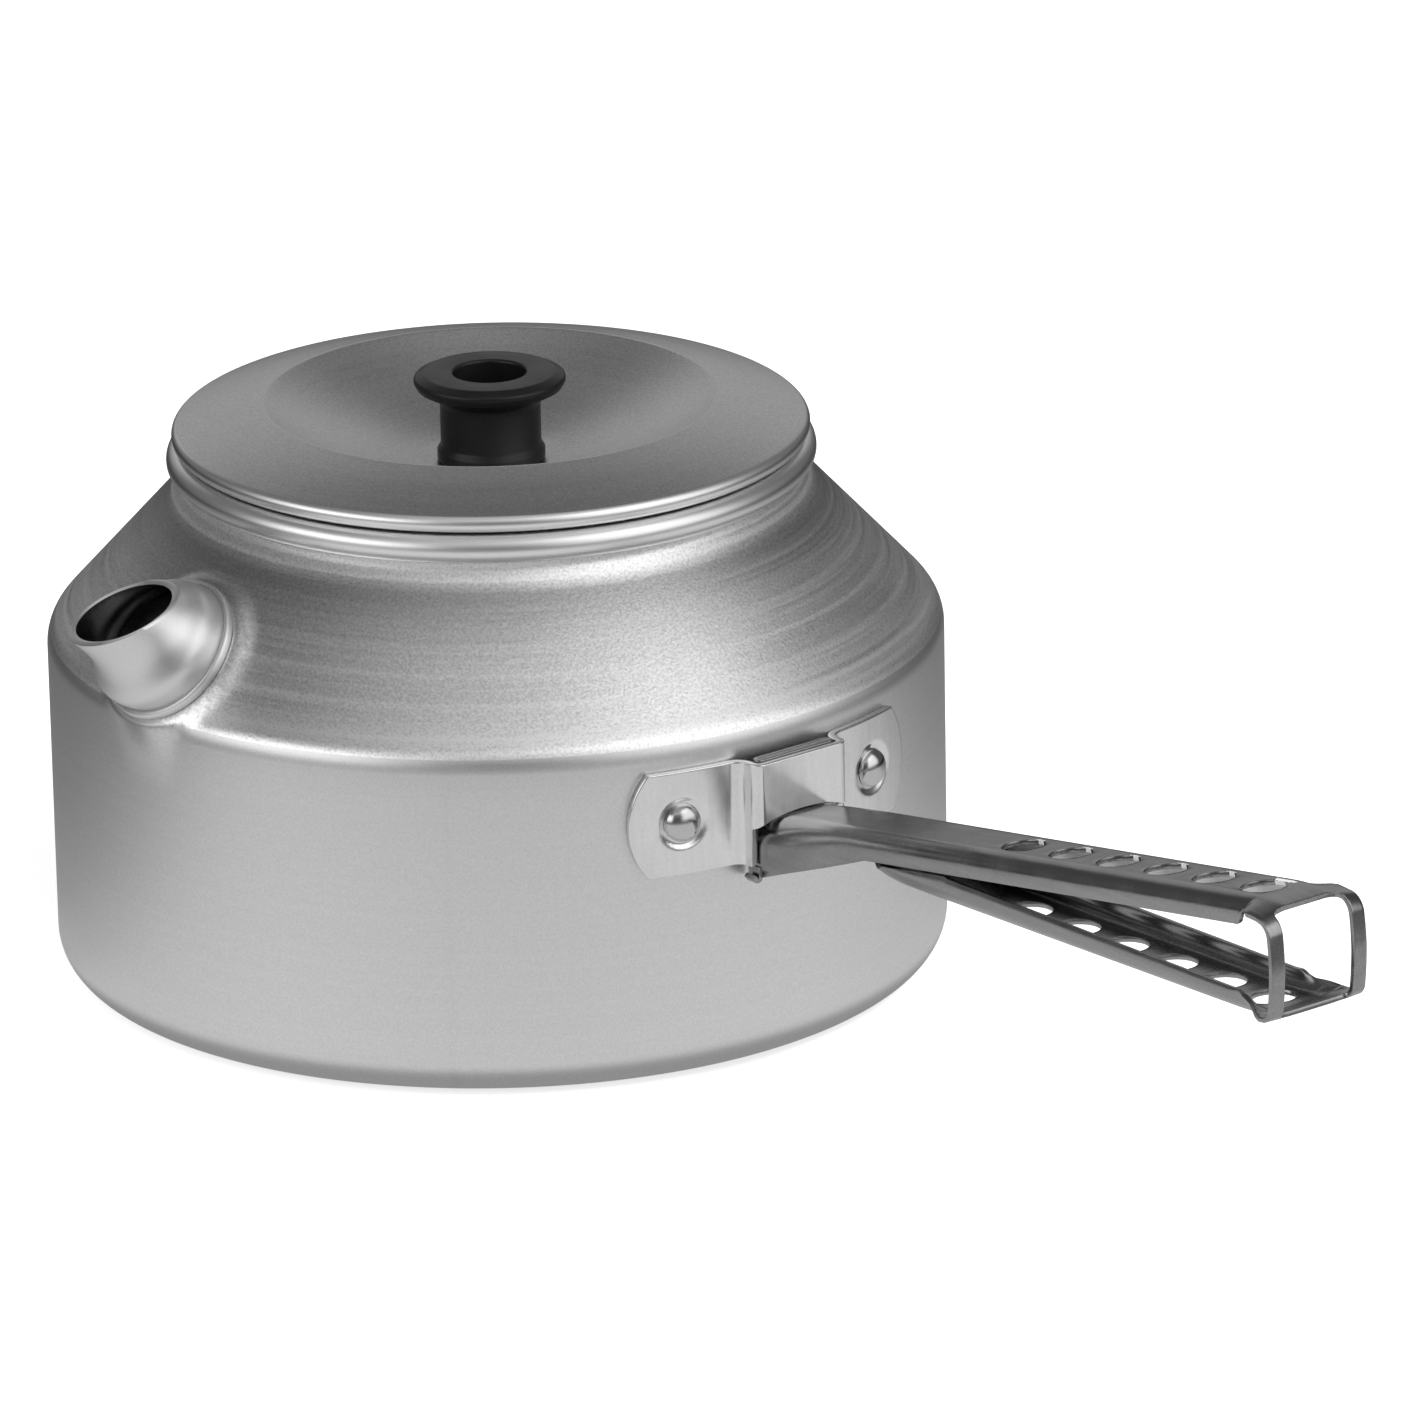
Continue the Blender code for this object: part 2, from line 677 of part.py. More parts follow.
def build_rivets(material, parts):
    head = WING_RADIUS + GAP - BODY_RADIUS
    tail = -WALL - GAP
    outline = [(0, head + RIVET_HEAD_HEIGHT)]
    for i in range(1, 5):
        a = math.pi / 2 * i / 4
        outline.append((RIVET_HEAD_RADIUS * math.sin(a), head + RIVET_HEAD_HEIGHT * math.cos(a)))
    outline += [
        (RIVET_SHANK_RADIUS, head),
        (RIVET_SHANK_RADIUS, tail),
        (RIVET_TAIL_RADIUS, tail),
        (RIVET_TAIL_RADIUS, tail - RIVET_TAIL_HEIGHT),
        (0, tail - RIVET_TAIL_HEIGHT),
    ]
    for name, side in (("rivet_left", -1), ("rivet_right", 1)):
        rivet = turned(name, outline, 24, material, parts, closed=False)
        radial(rivet, side * RIVET_ANGLE, BRACKET_MIDDLE, BODY_RADIUS)


# Handle strip

SIDE_SHARES = (0, 0.15, 0.3, 0.45, 0.6, 1)
FLAT_FOLD = 1


def station(x, height, lean, half_width, fold, blank, bend=HANDLE_BEND):
    """One cross-section of the strip: its place, its lean, how far its sides are folded, half its blank."""
    return {
        "x": x, "z": height, "lean": lean, "flat": half_width - bend, "bend": bend,
        "fold": fold, "blank": blank,
    }


def channel_section(place, up):
    """Outer face of the folded strip: a flat web with a side bent up or down at each edge."""
    flat, bend = place["flat"], place["bend"]
    fold = math.radians(place["fold"])
    half = []
    for share in SIDE_SHARES:
        along = (place["blank"] - flat) * share
        turned_by = min(along / bend, fold)
        rest = along - turned_by * bend
        half.append((
            flat + bend * math.sin(turned_by) + rest * math.cos(fold),
            up * (bend * (1 - math.cos(turned_by)) + rest * math.sin(fold)),
        ))
    return [(-y, z) for y, z in reversed(half)] + half


def channel(name, stations, up, material, parts):
    """Lofts the strip through its stations and gives it the sheet's thickness, towards its sides."""
    rings = []
    for place in stations:
        lean = math.radians(place["lean"])
        normal = Vector((-math.sin(lean), 0, math.cos(lean)))
        middle = Vector((place["x"], 0, place["z"]))
        rings.append([
            middle + Vector((0, y, 0)) + normal * z for y, z in channel_section(place, up)
        ])
    strip = lofted(name, rings, material, parts)
    face_along(strip, Vector((0, 0, -up)))
    solidify(strip, HANDLE_SHEET)
    return strip


def upper_height(x):
    """Top of the upper limb's web: straight, with a short fall at the wall and at the outer end."""
    height = UPPER_START + UPPER_SLOPE * (x - BODY_RADIUS)
    near_wall = max(0.0, 1 - (x - BODY_RADIUS) / (11 * mm))
    near_end = max(0.0, (x - UPPER_FLANGE_END) / (UPPER_END - UPPER_FLANGE_END))
    return height - 1.1 * mm * near_wall ** 2 - UPPER_END_DROP * near_end ** 2


def upper_flange_foot(x):
    """Lower edge of the upper limb's sides, which deepen from the neck's end to the wall."""
    at_neck_end = upper_height(NECK_END) - UPPER_FLANGE
    if x >= NECK_END:
        return at_neck_end + UPPER_SLOPE * (x - NECK_END)
    share = min(1.0, (NECK_END - x) / (NECK_LENGTH - LUG_LENGTH / 2))
    return at_neck_end + (SIDE_PLATE_FOOT - at_neck_end) * share


def upper_stations():
    stations = []
    lean = math.degrees(math.atan(UPPER_SLOPE))
    near = [0.7, 2.4, 4.4, 6.6, 9.0, 12.0, 16.0, 21.0, 26.0]
    far = [NECK_LENGTH + (UPPER_FLANGE_LENGTH - NECK_LENGTH) * i / 4 for i in range(5)]
    for reach in [distance * mm for distance in near] + far:
        x = BODY_RADIUS + reach
        spread = ease((NECK_LENGTH - 4 * mm - reach) / (18 * mm))
        half_width = HANDLE_HALF_WIDTH + (NECK_HALF_WIDTH - HANDLE_HALF_WIDTH) * spread
        bend = HANDLE_BEND + (NECK_BEND - HANDLE_BEND) * spread
        depth = upper_height(x) - upper_flange_foot(x)
        blank = half_width + bend * (math.pi / 2 - 2) + depth
        stations.append(station(x, upper_height(x), lean * (1 - spread), half_width, 90, blank, bend))
    # the sides end in a notch, and the sheet spreads into the flat end plate
    notch = [(0.8, 75, 1.2), (1.7, 50, -0.1), (2.9, 20, 0.1), (4.1, 4, 1.6)]
    for past, fold, wider in notch:
        x = UPPER_FLANGE_END + past * mm
        blank = HANDLE_HALF_WIDTH + wider * mm
        stations.append(station(x, upper_height(x), lean, HANDLE_HALF_WIDTH, fold, blank))
    for back in (3.6 * mm, 1.6 * mm, 0):
        x = UPPER_END - back
        stations.append(station(x, upper_height(x), 0, HANDLE_HALF_WIDTH, FLAT_FOLD, END_HALF_WIDTH))
    return stations


def hole_row(name, reach, pitch, slope, height, tools):
    """Round holes in a row, from the outermost one back along the limb, cut down through the web."""
    hole = cylinder(name, HOLE_RADIUS, 8 * mm, 24, tools)
    hole.location = (BODY_RADIUS + reach, 0, height)
    hole.rotation_euler = (0, -math.atan(slope), 0)
    row = hole.modifiers.new("Row", "ARRAY")
    row.count = HOLE_COUNT
    row.use_relative_offset = False
    row.use_constant_offset = True
    row.constant_offset_displace = (-pitch, 0, 0)
    return hole


def plug_outline():
    """Plan of the flattened tube that stands in the bracket's pocket."""
    back = BODY_RADIUS + 0.4 * mm
    front = POCKET_FRONT - BRACKET_SHEET - GAP
    half = NECK_HALF_WIDTH - 0.1 * mm
    r = PLUG_CORNER
    corners = [(front - r, half - r), (back + r, half - r), (back + r, r - half), (front - r, r - half)]
    outline = []
    for quarter, corner in enumerate(corners):
        outline += arc(corner, r, 90 * quarter, 90 * quarter + 90, 3)
    return outline


def build_plug(tools):
    """The plug's tube, with room below for the lever's tongue."""
    foot = upper_height(BODY_RADIUS) - NECK_BEND
    rings = [[Vector((x, y, z)) for x, y in plug_outline()] for z in (foot, BRACKET_TOP - PLUG_DROP)]
    plug = lofted("plug", rings, None, tools, ring_closed=True)
    face_away(plug, Vector((BODY_RADIUS + POCKET_DEPTH / 2, 0, 0)))
    solidify(plug, HANDLE_SHEET)
    half = TONGUE_HALF_WIDTH + 0.8 * mm
    top = upper_height(POCKET_FRONT - BRACKET_SHEET) - HANDLE_SHEET - 0.1 * mm
    room = [(-half, foot - mm), (half, foot - mm), (half, top), (-half, top)]
    boolean(plug, prism("tongue_room", room, BODY_RADIUS - mm, POCKET_DEPTH + 2 * mm, "X", None, tools))
    return plug


def build_lug(side, tools):
    """A foot of the side plate, flared out under the bracket so that the handle can't rise."""
    inside = NECK_HALF_WIDTH - HANDLE_SHEET
    flare = [(0.45, 2.2), (0.45, 1.0), (0.9, 0.25), (1.9, 0), (3.0, 0.5)]
    path = [(side * (inside + out * mm), SIDE_PLATE_FOOT + rise * mm) for out, rise in flare]
    path.append((side * (NECK_HALF_WIDTH + LUG_REACH), SIDE_PLATE_FOOT + 1.7 * mm))
    outline = thickened(path, -0.95 * HANDLE_SHEET * side)
    return prism(f"lug_{side}", outline, BODY_RADIUS + mm, LUG_LENGTH, "X", None, tools)


def build_upper_limb(material, parts, tools):
    limb = channel("handle_upper_limb", upper_stations(), -1, material, parts)
    boolean(limb, build_plug(tools), "UNION")
    for side in (-1, 1):
        boolean(limb, build_lug(side, tools), "UNION")
    height = upper_height(BODY_RADIUS + UPPER_HOLE_REACH)
    boolean(limb, hole_row("upper_holes", UPPER_HOLE_REACH, UPPER_HOLE_PITCH, UPPER_SLOPE, height, tools))
    smooth(limb)
    return limb


def lower_height(x):
    """Underside of the lower limb's web, with a short rise at the tip and at the outer end."""
    height = LOWER_START + LOWER_SLOPE * (x - FULCRUM)
    near_tip = max(0.0, 1 - (x - LOWER_TIP) / (8.5 * mm))
    near_end = max(0.0, (x - LOWER_FLANGE_END) / (LOWER_END - LOWER_FLANGE_END))
    return height + 0.9 * mm * near_tip ** 2 + LOWER_END_RISE * near_end ** 2


def lower_flange(x):
    """Height of the lower limb's sides: trimmed along the upper limb's edge as far as the fulcrum."""
    if x < FULCRUM:
        return upper_flange_foot(x) - FULCRUM_GAP - lower_height(x)
    return LOWER_FLANGE - LOWER_FLANGE_TAPER * (x - FULCRUM)


def tongue_height(x):
    """Underside of the tongue where it runs along under the upper limb's web."""
    return upper_height(x) - 2 * HANDLE_SHEET - TONGUE_GAP


def tongue_stations():
    """The lever's narrow inner end: a nose by the wall, a run under the upper web, a drop to the tip."""
    nose = BODY_RADIUS + NOSE_GAP + HANDLE_SHEET
    run_lean = math.degrees(math.atan(UPPER_SLOPE))
    run_start = nose + NOSE_BEND * (1 - math.sin(math.radians(run_lean)))
    bend_height = tongue_height(run_start) - NOSE_BEND * math.cos(math.radians(run_lean))
    places = [(nose, BRACKET_FOOT, 90)]
    for i in range(4):
        lean = 90 + (run_lean - 90) * i / 3
        a = math.radians(lean + 90)
        places.append((nose + NOSE_BEND * (1 + math.cos(a)), bend_height + NOSE_BEND * math.sin(a), lean))
    for short in (23.8 * mm, 15.0 * mm, 6.5 * mm):
        places.append((NECK_END - short, tongue_height(NECK_END - short), run_lean))
    top = tongue_height(NECK_END - 4.3 * mm)
    fall = top - lower_height(LOWER_TIP)
    for past, share, lean in ((-4.3, 0.0, -10), (-1.6, 0.24, -38), (0.4, 0.62, -42), (2.2, 0.92, -25)):
        places.append((NECK_END + past * mm, top - fall * share, lean))
    half_width = TONGUE_HALF_WIDTH + HANDLE_BEND - 0.8 * mm
    return [station(x, z, lean, half_width, FLAT_FOLD, TONGUE_HALF_WIDTH) for x, z, lean in places]


def lower_stations():
    stations = tongue_stations()
    for past, lean, fold, wider in ((0, -12, 40, -1.4), (1.5, -5, 75, 0)):
        x = LOWER_TIP + past * mm
        blank = HANDLE_HALF_WIDTH + wider * mm
        stations.append(station(x, lower_height(x), lean, HANDLE_HALF_WIDTH - 0.5 * mm, fold, blank))
    fold = math.radians(LOWER_FLANGE_ANGLE)
    near = [LOWER_TIP + distance * mm for distance in (4.5, 8.5, 13.5)]
    far = [FULCRUM + (LOWER_FLANGE_END - FULCRUM) * i / 3 for i in range(4)]
    for x in near + far:
        rise = max(0.0, lower_flange(x) - HANDLE_BEND * (1 - math.cos(fold)))
        blank = HANDLE_HALF_WIDTH - HANDLE_BEND + HANDLE_BEND * fold + rise / math.sin(fold)
        stations.append(station(x, lower_height(x), 0, HANDLE_HALF_WIDTH, LOWER_FLANGE_ANGLE, blank))
    # the same notch and end plate as on the upper limb, upside down
    for past, fold, wider in ((1.0, 75, 1.0), (2.0, 45, 0.2), (3.2, 15, 0.9), (4.4, 3, 2.4)):
        x = LOWER_FLANGE_END + past * mm
        blank = HANDLE_HALF_WIDTH + wider * mm
        stations.append(station(x, lower_height(x), 0, HANDLE_HALF_WIDTH, fold, blank))
    for back in (4.0 * mm, 1.8 * mm, 0):
        x = LOWER_END - back
        stations.append(station(x, lower_height(x), 0, HANDLE_HALF_WIDTH, FLAT_FOLD, END_HALF_WIDTH))
    return stations


def build_lower_limb(material, parts, tools):
    """The squeeze lever, parented to an empty on the line where it rocks against the upper limb."""
    limb = channel("handle_lower_limb", lower_stations(), 1, material, parts)
    height = lower_height(BODY_RADIUS + LOWER_HOLE_REACH)
    boolean(limb, hole_row("lower_holes", LOWER_HOLE_REACH, LOWER_HOLE_PITCH, LOWER_SLOPE, height, tools))
    smooth(limb)
    fulcrum = bpy.data.objects.new("fulcrum", None)
    parts.objects.link(fulcrum)
    fulcrum.location = (FULCRUM, 0, upper_flange_foot(FULCRUM) - FULCRUM_GAP)
    limb.parent = fulcrum
    limb.location = -fulcrum.location
    return limb


def build_straps(material, parts):
    """Two narrow straps, left when the window in the strip was punched out, bent down and bowed out."""
    top = upper_height(UPPER_END)
    start = UPPER_END + GAP
    foot = lower_height(LOWER_END)
    foot_face = LOWER_END + GAP + HANDLE_SHEET
    lean = math.radians(STRAP_START_ANGLE)
    centre = (start + STRAP_LEDGE - STRAP_BEND * math.cos(lean), top - STRAP_BEND * math.sin(lean))
    path = [(start, top)] + arc(centre, STRAP_BEND, STRAP_START_ANGLE, 0, 5)
    side_top = path[-1]
    for i in range(1, 7):
        t = i / 6
        bow = STRAP_BOW * math.sin(math.pi * t)
        x = side_top[0] + (foot_face - side_top[0]) * t + bow
        path.append((x, side_top[1] + (foot - side_top[1]) * t))
    outline = thickened(path, HANDLE_SHEET)
    for name, side in (("handle_strap_near", -1), ("handle_strap_far", 1)):
        low = min(side * END_HALF_WIDTH, side * (END_HALF_WIDTH - STRAP_WIDTH))
        strap = prism(name, outline, low, STRAP_WIDTH, "Y", material, parts)
        smooth(strap)


def main():
    clear_scene()
    parts = make_collection("camping_kettle")
    tools = make_collection("cutters")
    satin = make_material("satin_aluminium", (0.72, 0.72, 0.73), 1.0, 0.42)
    matte = make_material("matte_aluminium", (0.50, 0.50, 0.51), 1.0, 0.5)
    bright = make_material("bright_aluminium", (0.82, 0.82, 0.83), 1.0, 0.22)
    steel = make_material("plated_steel", (0.42, 0.42, 0.43), 1.0, 0.32)
    plastic = make_material("black_plastic", (0.02, 0.02, 0.02), 0.0, 0.4)
    build_body(satin, parts, tools)
    build_spout(satin, parts)
    build_lid(matte, parts)
    build_knob(plastic, parts)
    build_fastening(steel, parts)
    build_bracket(bright, parts, tools)
    build_rivets(bright, parts)
    build_upper_limb(steel, parts, tools)
    build_lower_limb(steel, parts, tools)
    build_straps(steel, parts)


main()
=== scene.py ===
# Camping kettle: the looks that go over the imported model.
import math

import bmesh
import bpy
from mathutils import Matrix, Vector


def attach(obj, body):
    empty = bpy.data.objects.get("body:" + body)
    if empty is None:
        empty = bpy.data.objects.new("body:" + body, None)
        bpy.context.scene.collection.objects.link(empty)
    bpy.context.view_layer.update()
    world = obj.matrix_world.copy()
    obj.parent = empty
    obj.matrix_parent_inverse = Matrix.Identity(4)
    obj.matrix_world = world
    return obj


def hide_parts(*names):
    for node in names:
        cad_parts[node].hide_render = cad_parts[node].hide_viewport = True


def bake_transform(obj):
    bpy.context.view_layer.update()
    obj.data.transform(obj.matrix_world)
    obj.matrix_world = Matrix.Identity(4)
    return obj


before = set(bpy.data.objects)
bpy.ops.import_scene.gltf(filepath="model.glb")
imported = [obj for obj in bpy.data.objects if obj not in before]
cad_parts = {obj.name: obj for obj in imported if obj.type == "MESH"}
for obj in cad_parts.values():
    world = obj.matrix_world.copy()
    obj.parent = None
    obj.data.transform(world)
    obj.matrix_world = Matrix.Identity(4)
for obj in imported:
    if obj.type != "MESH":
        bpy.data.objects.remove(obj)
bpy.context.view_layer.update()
mm = 0.001


def millimetres(**sizes):
    return {name: size * mm for name, size in sizes.items()}


# Outlines and meshes

def cosine(degrees):
    return math.cos(math.radians(degrees))


def sine(degrees):
    return math.sin(math.radians(degrees))


def arcPoints(centre, radius, start, end, steps):
    turns = [start + (end - start) * i / steps for i in range(steps + 1)]
    return [(centre[0] + radius * cosine(turn), centre[1] + radius * sine(turn)) for turn in turns]


def roundedPath(corners, turnPerStep=6):
    # corners are (across, height, radius); each one with a radius becomes an arc between its two runs
    points = []
    last = len(corners) - 1
    for i, (a, b, radius) in enumerate(corners):
        here = Vector((a, b))
        if i in (0, last) or radius <= 0:
            points.append(here)
            continue
        toBefore = (Vector(corners[i - 1][:2]) - here).normalized()
        toAfter = (Vector(corners[i + 1][:2]) - here).normalized()
        half = math.acos(max(-1, min(1, toBefore.dot(toAfter)))) / 2
        centre = here + (toBefore + toAfter).normalized() * radius / math.sin(half)
        start = here + toBefore * radius / math.tan(half) - centre
        turn = math.pi - 2 * half
        side = 1 if start.x * toBefore.y - start.y * toBefore.x < 0 else -1
        steps = max(2, round(math.degrees(turn) / turnPerStep))
        for k in range(steps + 1):
            points.append(centre + Matrix.Rotation(side * turn * k / steps, 2) @ start)
    return points


def offsetPath(path, distance):
    # the same path moved to its right
    moved = []
    for i, point in enumerate(path):
        before = path[max(i - 1, 0)]
        after = path[min(i + 1, len(path) - 1)]
        into = (point - before).normalized() if i else (after - point).normalized()
        out = (after - point).normalized() if i < len(path) - 1 else into
        middle = (into + out).normalized()
        right = Vector((middle.y, -middle.x))
        moved.append(point + right * distance / max(right.dot(Vector((into.y, -into.x))), 0.5))
    return moved


def splitLong(path, longest):
    # extra points on long straight runs, so that shading and bakes stay even
    points = [path[0]]
    for before, after in zip(path, path[1:]):
        pieces = max(1, math.ceil((after - before).length / longest))
        points += [before.lerp(after, k / pieces) for k in range(1, pieces + 1)]
    return points


def smoothCurve(values, at):
    # a soft curve through (place, value) pairs that never overshoots
    if at <= values[0][0]:
        return values[0][1]
    if at >= values[-1][0]:
        return values[-1][1]
    slopes = [(b[1] - a[1]) / (b[0] - a[0]) for a, b in zip(values, values[1:])]
    tangents = [slopes[0]]
    for a, b in zip(slopes, slopes[1:]):
        tangents.append(0 if a * b <= 0 else 2 * a * b / (a + b))
    tangents.append(slopes[-1])
    for i, (a, b) in enumerate(zip(values, values[1:])):
        if at <= b[0]:
            width = b[0] - a[0]
            t = (at - a[0]) / width
            return (
                (1 + 2 * t) * (1 - t) ** 2 * a[1] + t * (1 - t) ** 2 * width * tangents[i]
                + t * t * (3 - 2 * t) * b[1] + t * t * (t - 1) * width * tangents[i + 1]
            )


def eased(t):
    t = max(0.0, min(1.0, t))
    return t * t * (3 - 2 * t)


def cleaned(piece, sharpAngle):
    work = bmesh.new()
    work.from_mesh(piece.data)
    bmesh.ops.remove_doubles(work, verts=work.verts, dist=1e-7)
    bmesh.ops.recalc_face_normals(work, faces=work.faces)
    work.to_mesh(piece.data)
    work.free()
    piece.data.shade_smooth()
    piece.data.set_sharp_from_angle(angle=math.radians(sharpAngle))
    return piece


def linked(name, data):
    piece = bpy.data.objects.new(name, data)
    bpy.context.scene.collection.objects.link(piece)
    return piece


def rawMesh(name, vertices, faces=()):
    mesh = bpy.data.meshes.new(name)
    mesh.from_pydata([tuple(v) for v in vertices], [], list(faces))
    return mesh


def gridFaces(rows, across, closedAlong=False, closedAcross=False, skip=None):
    # the faces between a grid's points, row by row, without those that skip(row, column) names
    faces = []
    for i in range(rows if closedAlong else rows - 1):
        low, high = i * across, (i + 1) % rows * across
        for j in range(across if closedAcross else across - 1):
            k = (j + 1) % across
            if not (skip and skip(i, j)):
                faces.append((low + j, low + k, high + k, high + j))
    return faces


def applyModifiers(piece):
    graph = bpy.context.evaluated_depsgraph_get()
    final = bpy.data.meshes.new_from_object(piece.evaluated_get(graph))
    piece.modifiers.clear()
    piece.data = final
    return piece


def cutOut(piece, name, create, matrix, **sizes):
    # a bmesh primitive, moved by the matrix, is cut out of the piece
    cutter = bpy.data.meshes.new(name)
    work = bmesh.new()
    create(work, **sizes)
    bmesh.ops.transform(work, matrix=matrix, verts=work.verts)
    work.to_mesh(cutter)
    work.free()
    tool = linked(name, cutter)
    piece.modifiers.new(name, "BOOLEAN").object = tool
    applyModifiers(piece)
    bpy.data.objects.remove(tool, do_unlink=True)


# Nodes, the same for geometry and for materials

def feed(tree, socket, value):
    if isinstance(value, bpy.types.NodeSocket):
        tree.links.new(value, socket)
    else:
        socket.default_value = value


def addNode(tree, kind, settings=(), **inputs):
    # inputs are plain values or other nodes' outputs
    node = tree.nodes.new(kind)
    for label, value in dict(settings).items():
        setattr(node, label, value)
    for label, value in inputs.items():
        feed(tree, node.inputs[label.replace("_", " ")], value)
    return node


def calculated(tree, operation, *values):
    node = addNode(tree, "ShaderNodeMath", {"operation": operation})
    for socket, value in zip(node.inputs, values):
        feed(tree, socket, value)
    return node.outputs[0]


def times(tree, first, second):
    return calculated(tree, "MULTIPLY", first, second)


def plus(tree, first, second):
    return calculated(tree, "ADD", first, second)


def vectorMath(tree, operation, *values):
    node = addNode(tree, "ShaderNodeVectorMath", {"operation": operation})
    for socket, value in zip(node.inputs, values):
        feed(tree, socket, value)
    return node.outputs["Value" if operation in ("DOT_PRODUCT", "LENGTH") else "Vector"]


def separated(tree, vector):
    return addNode(tree, "ShaderNodeSeparateXYZ", Vector=vector).outputs


def combined(tree, x=0.0, y=0.0, z=0.0):
    return addNode(tree, "ShaderNodeCombineXYZ", X=x, Y=y, Z=z).outputs[0]


def aroundAxis(tree, radius, angle, height):
    return combined(
        tree, times(tree, radius, calculated(tree, "COSINE", angle)),
        times(tree, radius, calculated(tree, "SINE", angle)), height,
    )


def newTree(name, inputs, geometryIn=False):
    # inputs are name: (socket kind, value)
    tree = bpy.data.node_groups.new(name, "GeometryNodeTree")
    for way in ("INPUT", "OUTPUT")[0 if geometryIn else 1:]:
        tree.interface.new_socket("Geometry", in_out=way, socket_type="NodeSocketGeometry")
    for label, (kind, value) in inputs.items():
        tree.interface.new_socket(label, in_out="INPUT", socket_type=kind).default_value = value
    return tree, tree.nodes.new("NodeGroupInput").outputs, tree.nodes.new("NodeGroupOutput").inputs[0]


def endTree(tree, geometry, result, material=None):
    real = addNode(tree, "GeometryNodeRealizeInstances", Geometry=geometry)
    coat = addNode(tree, "GeometryNodeSetMaterial", Geometry=real.outputs[0], Material=material)
    tree.links.new(coat.outputs[0], result)
    return tree


def turningTree():
    # Geometry Nodes: the outline's points are turned about Z into a grid, one row for each point
    tree, given, result = newTree("turnedPiece", {
        "Steps": ("NodeSocketInt", 96), "Rows": ("NodeSocketInt", 8), "Points": ("NodeSocketInt", 8),
        "Merge Distance": ("NodeSocketFloat", 0.0001 * mm),
    }, geometryIn=True)
    grid = addNode(
        tree, "GeometryNodeMeshGrid", Vertices_X=plus(tree, given["Steps"], 1.0), Vertices_Y=given["Rows"],
        Size_X=1.0, Size_Y=1.0,
    )
    index = addNode(tree, "GeometryNodeInputIndex").outputs[0]
    column = calculated(tree, "FLOOR", calculated(tree, "DIVIDE", plus(tree, index, 0.5), given["Rows"]))
    row = calculated(tree, "SUBTRACT", index, times(tree, column, given["Rows"]))
    turn = times(tree, calculated(tree, "DIVIDE", column, given["Steps"]), math.tau)
    point = addNode(
        tree, "GeometryNodeSampleIndex", {"data_type": "FLOAT_VECTOR"}, Geometry=given["Geometry"],
        Value=addNode(tree, "GeometryNodeInputPosition").outputs[0],
        Index=calculated(tree, "MODULO", row, given["Points"]),
    )
    radius, _, height = separated(tree, point.outputs[0])
    moved = addNode(
        tree, "GeometryNodeSetPosition", Geometry=grid.outputs["Mesh"],
        Position=aroundAxis(tree, radius, turn, height),
    )
    joined = addNode(
        tree, "GeometryNodeMergeByDistance", Geometry=moved.outputs[0], Distance=given["Merge Distance"],
    )
    return endTree(tree, joined.outputs[0], result)


turning = turningTree()


def grown(piece, tree, **values):
    # runs a tree on the piece and keeps the plain mesh
    maker = piece.modifiers.new("maker", "NODES")
    maker.node_group = tree
    for socket in tree.interface.items_tree:
        if socket.in_out == "INPUT" and socket.name in values:
            maker[socket.identifier] = values[socket.name]
    return applyModifiers(piece)


def spun(name, outline, steps, closed=True, sharpAngle=40):
    # an outline of (radius, height) turned about Z; points on the axis are shared
    piece = linked(name, rawMesh(name, [(radius, 0, height) for radius, height in outline]))
    grown(piece, turning, Steps=steps, Rows=len(outline) + int(closed), Points=len(outline))
    return cleaned(piece, sharpAngle)


def ringLoft(name, rings, sharpAngle=40):
    # closed rings of points, the last one joined to the first
    faces = gridFaces(len(rings), len(rings[0]), closedAlong=True, closedAcross=True)
    return cleaned(linked(name, rawMesh(name, [point for ring in rings for point in ring], faces)), sharpAngle)


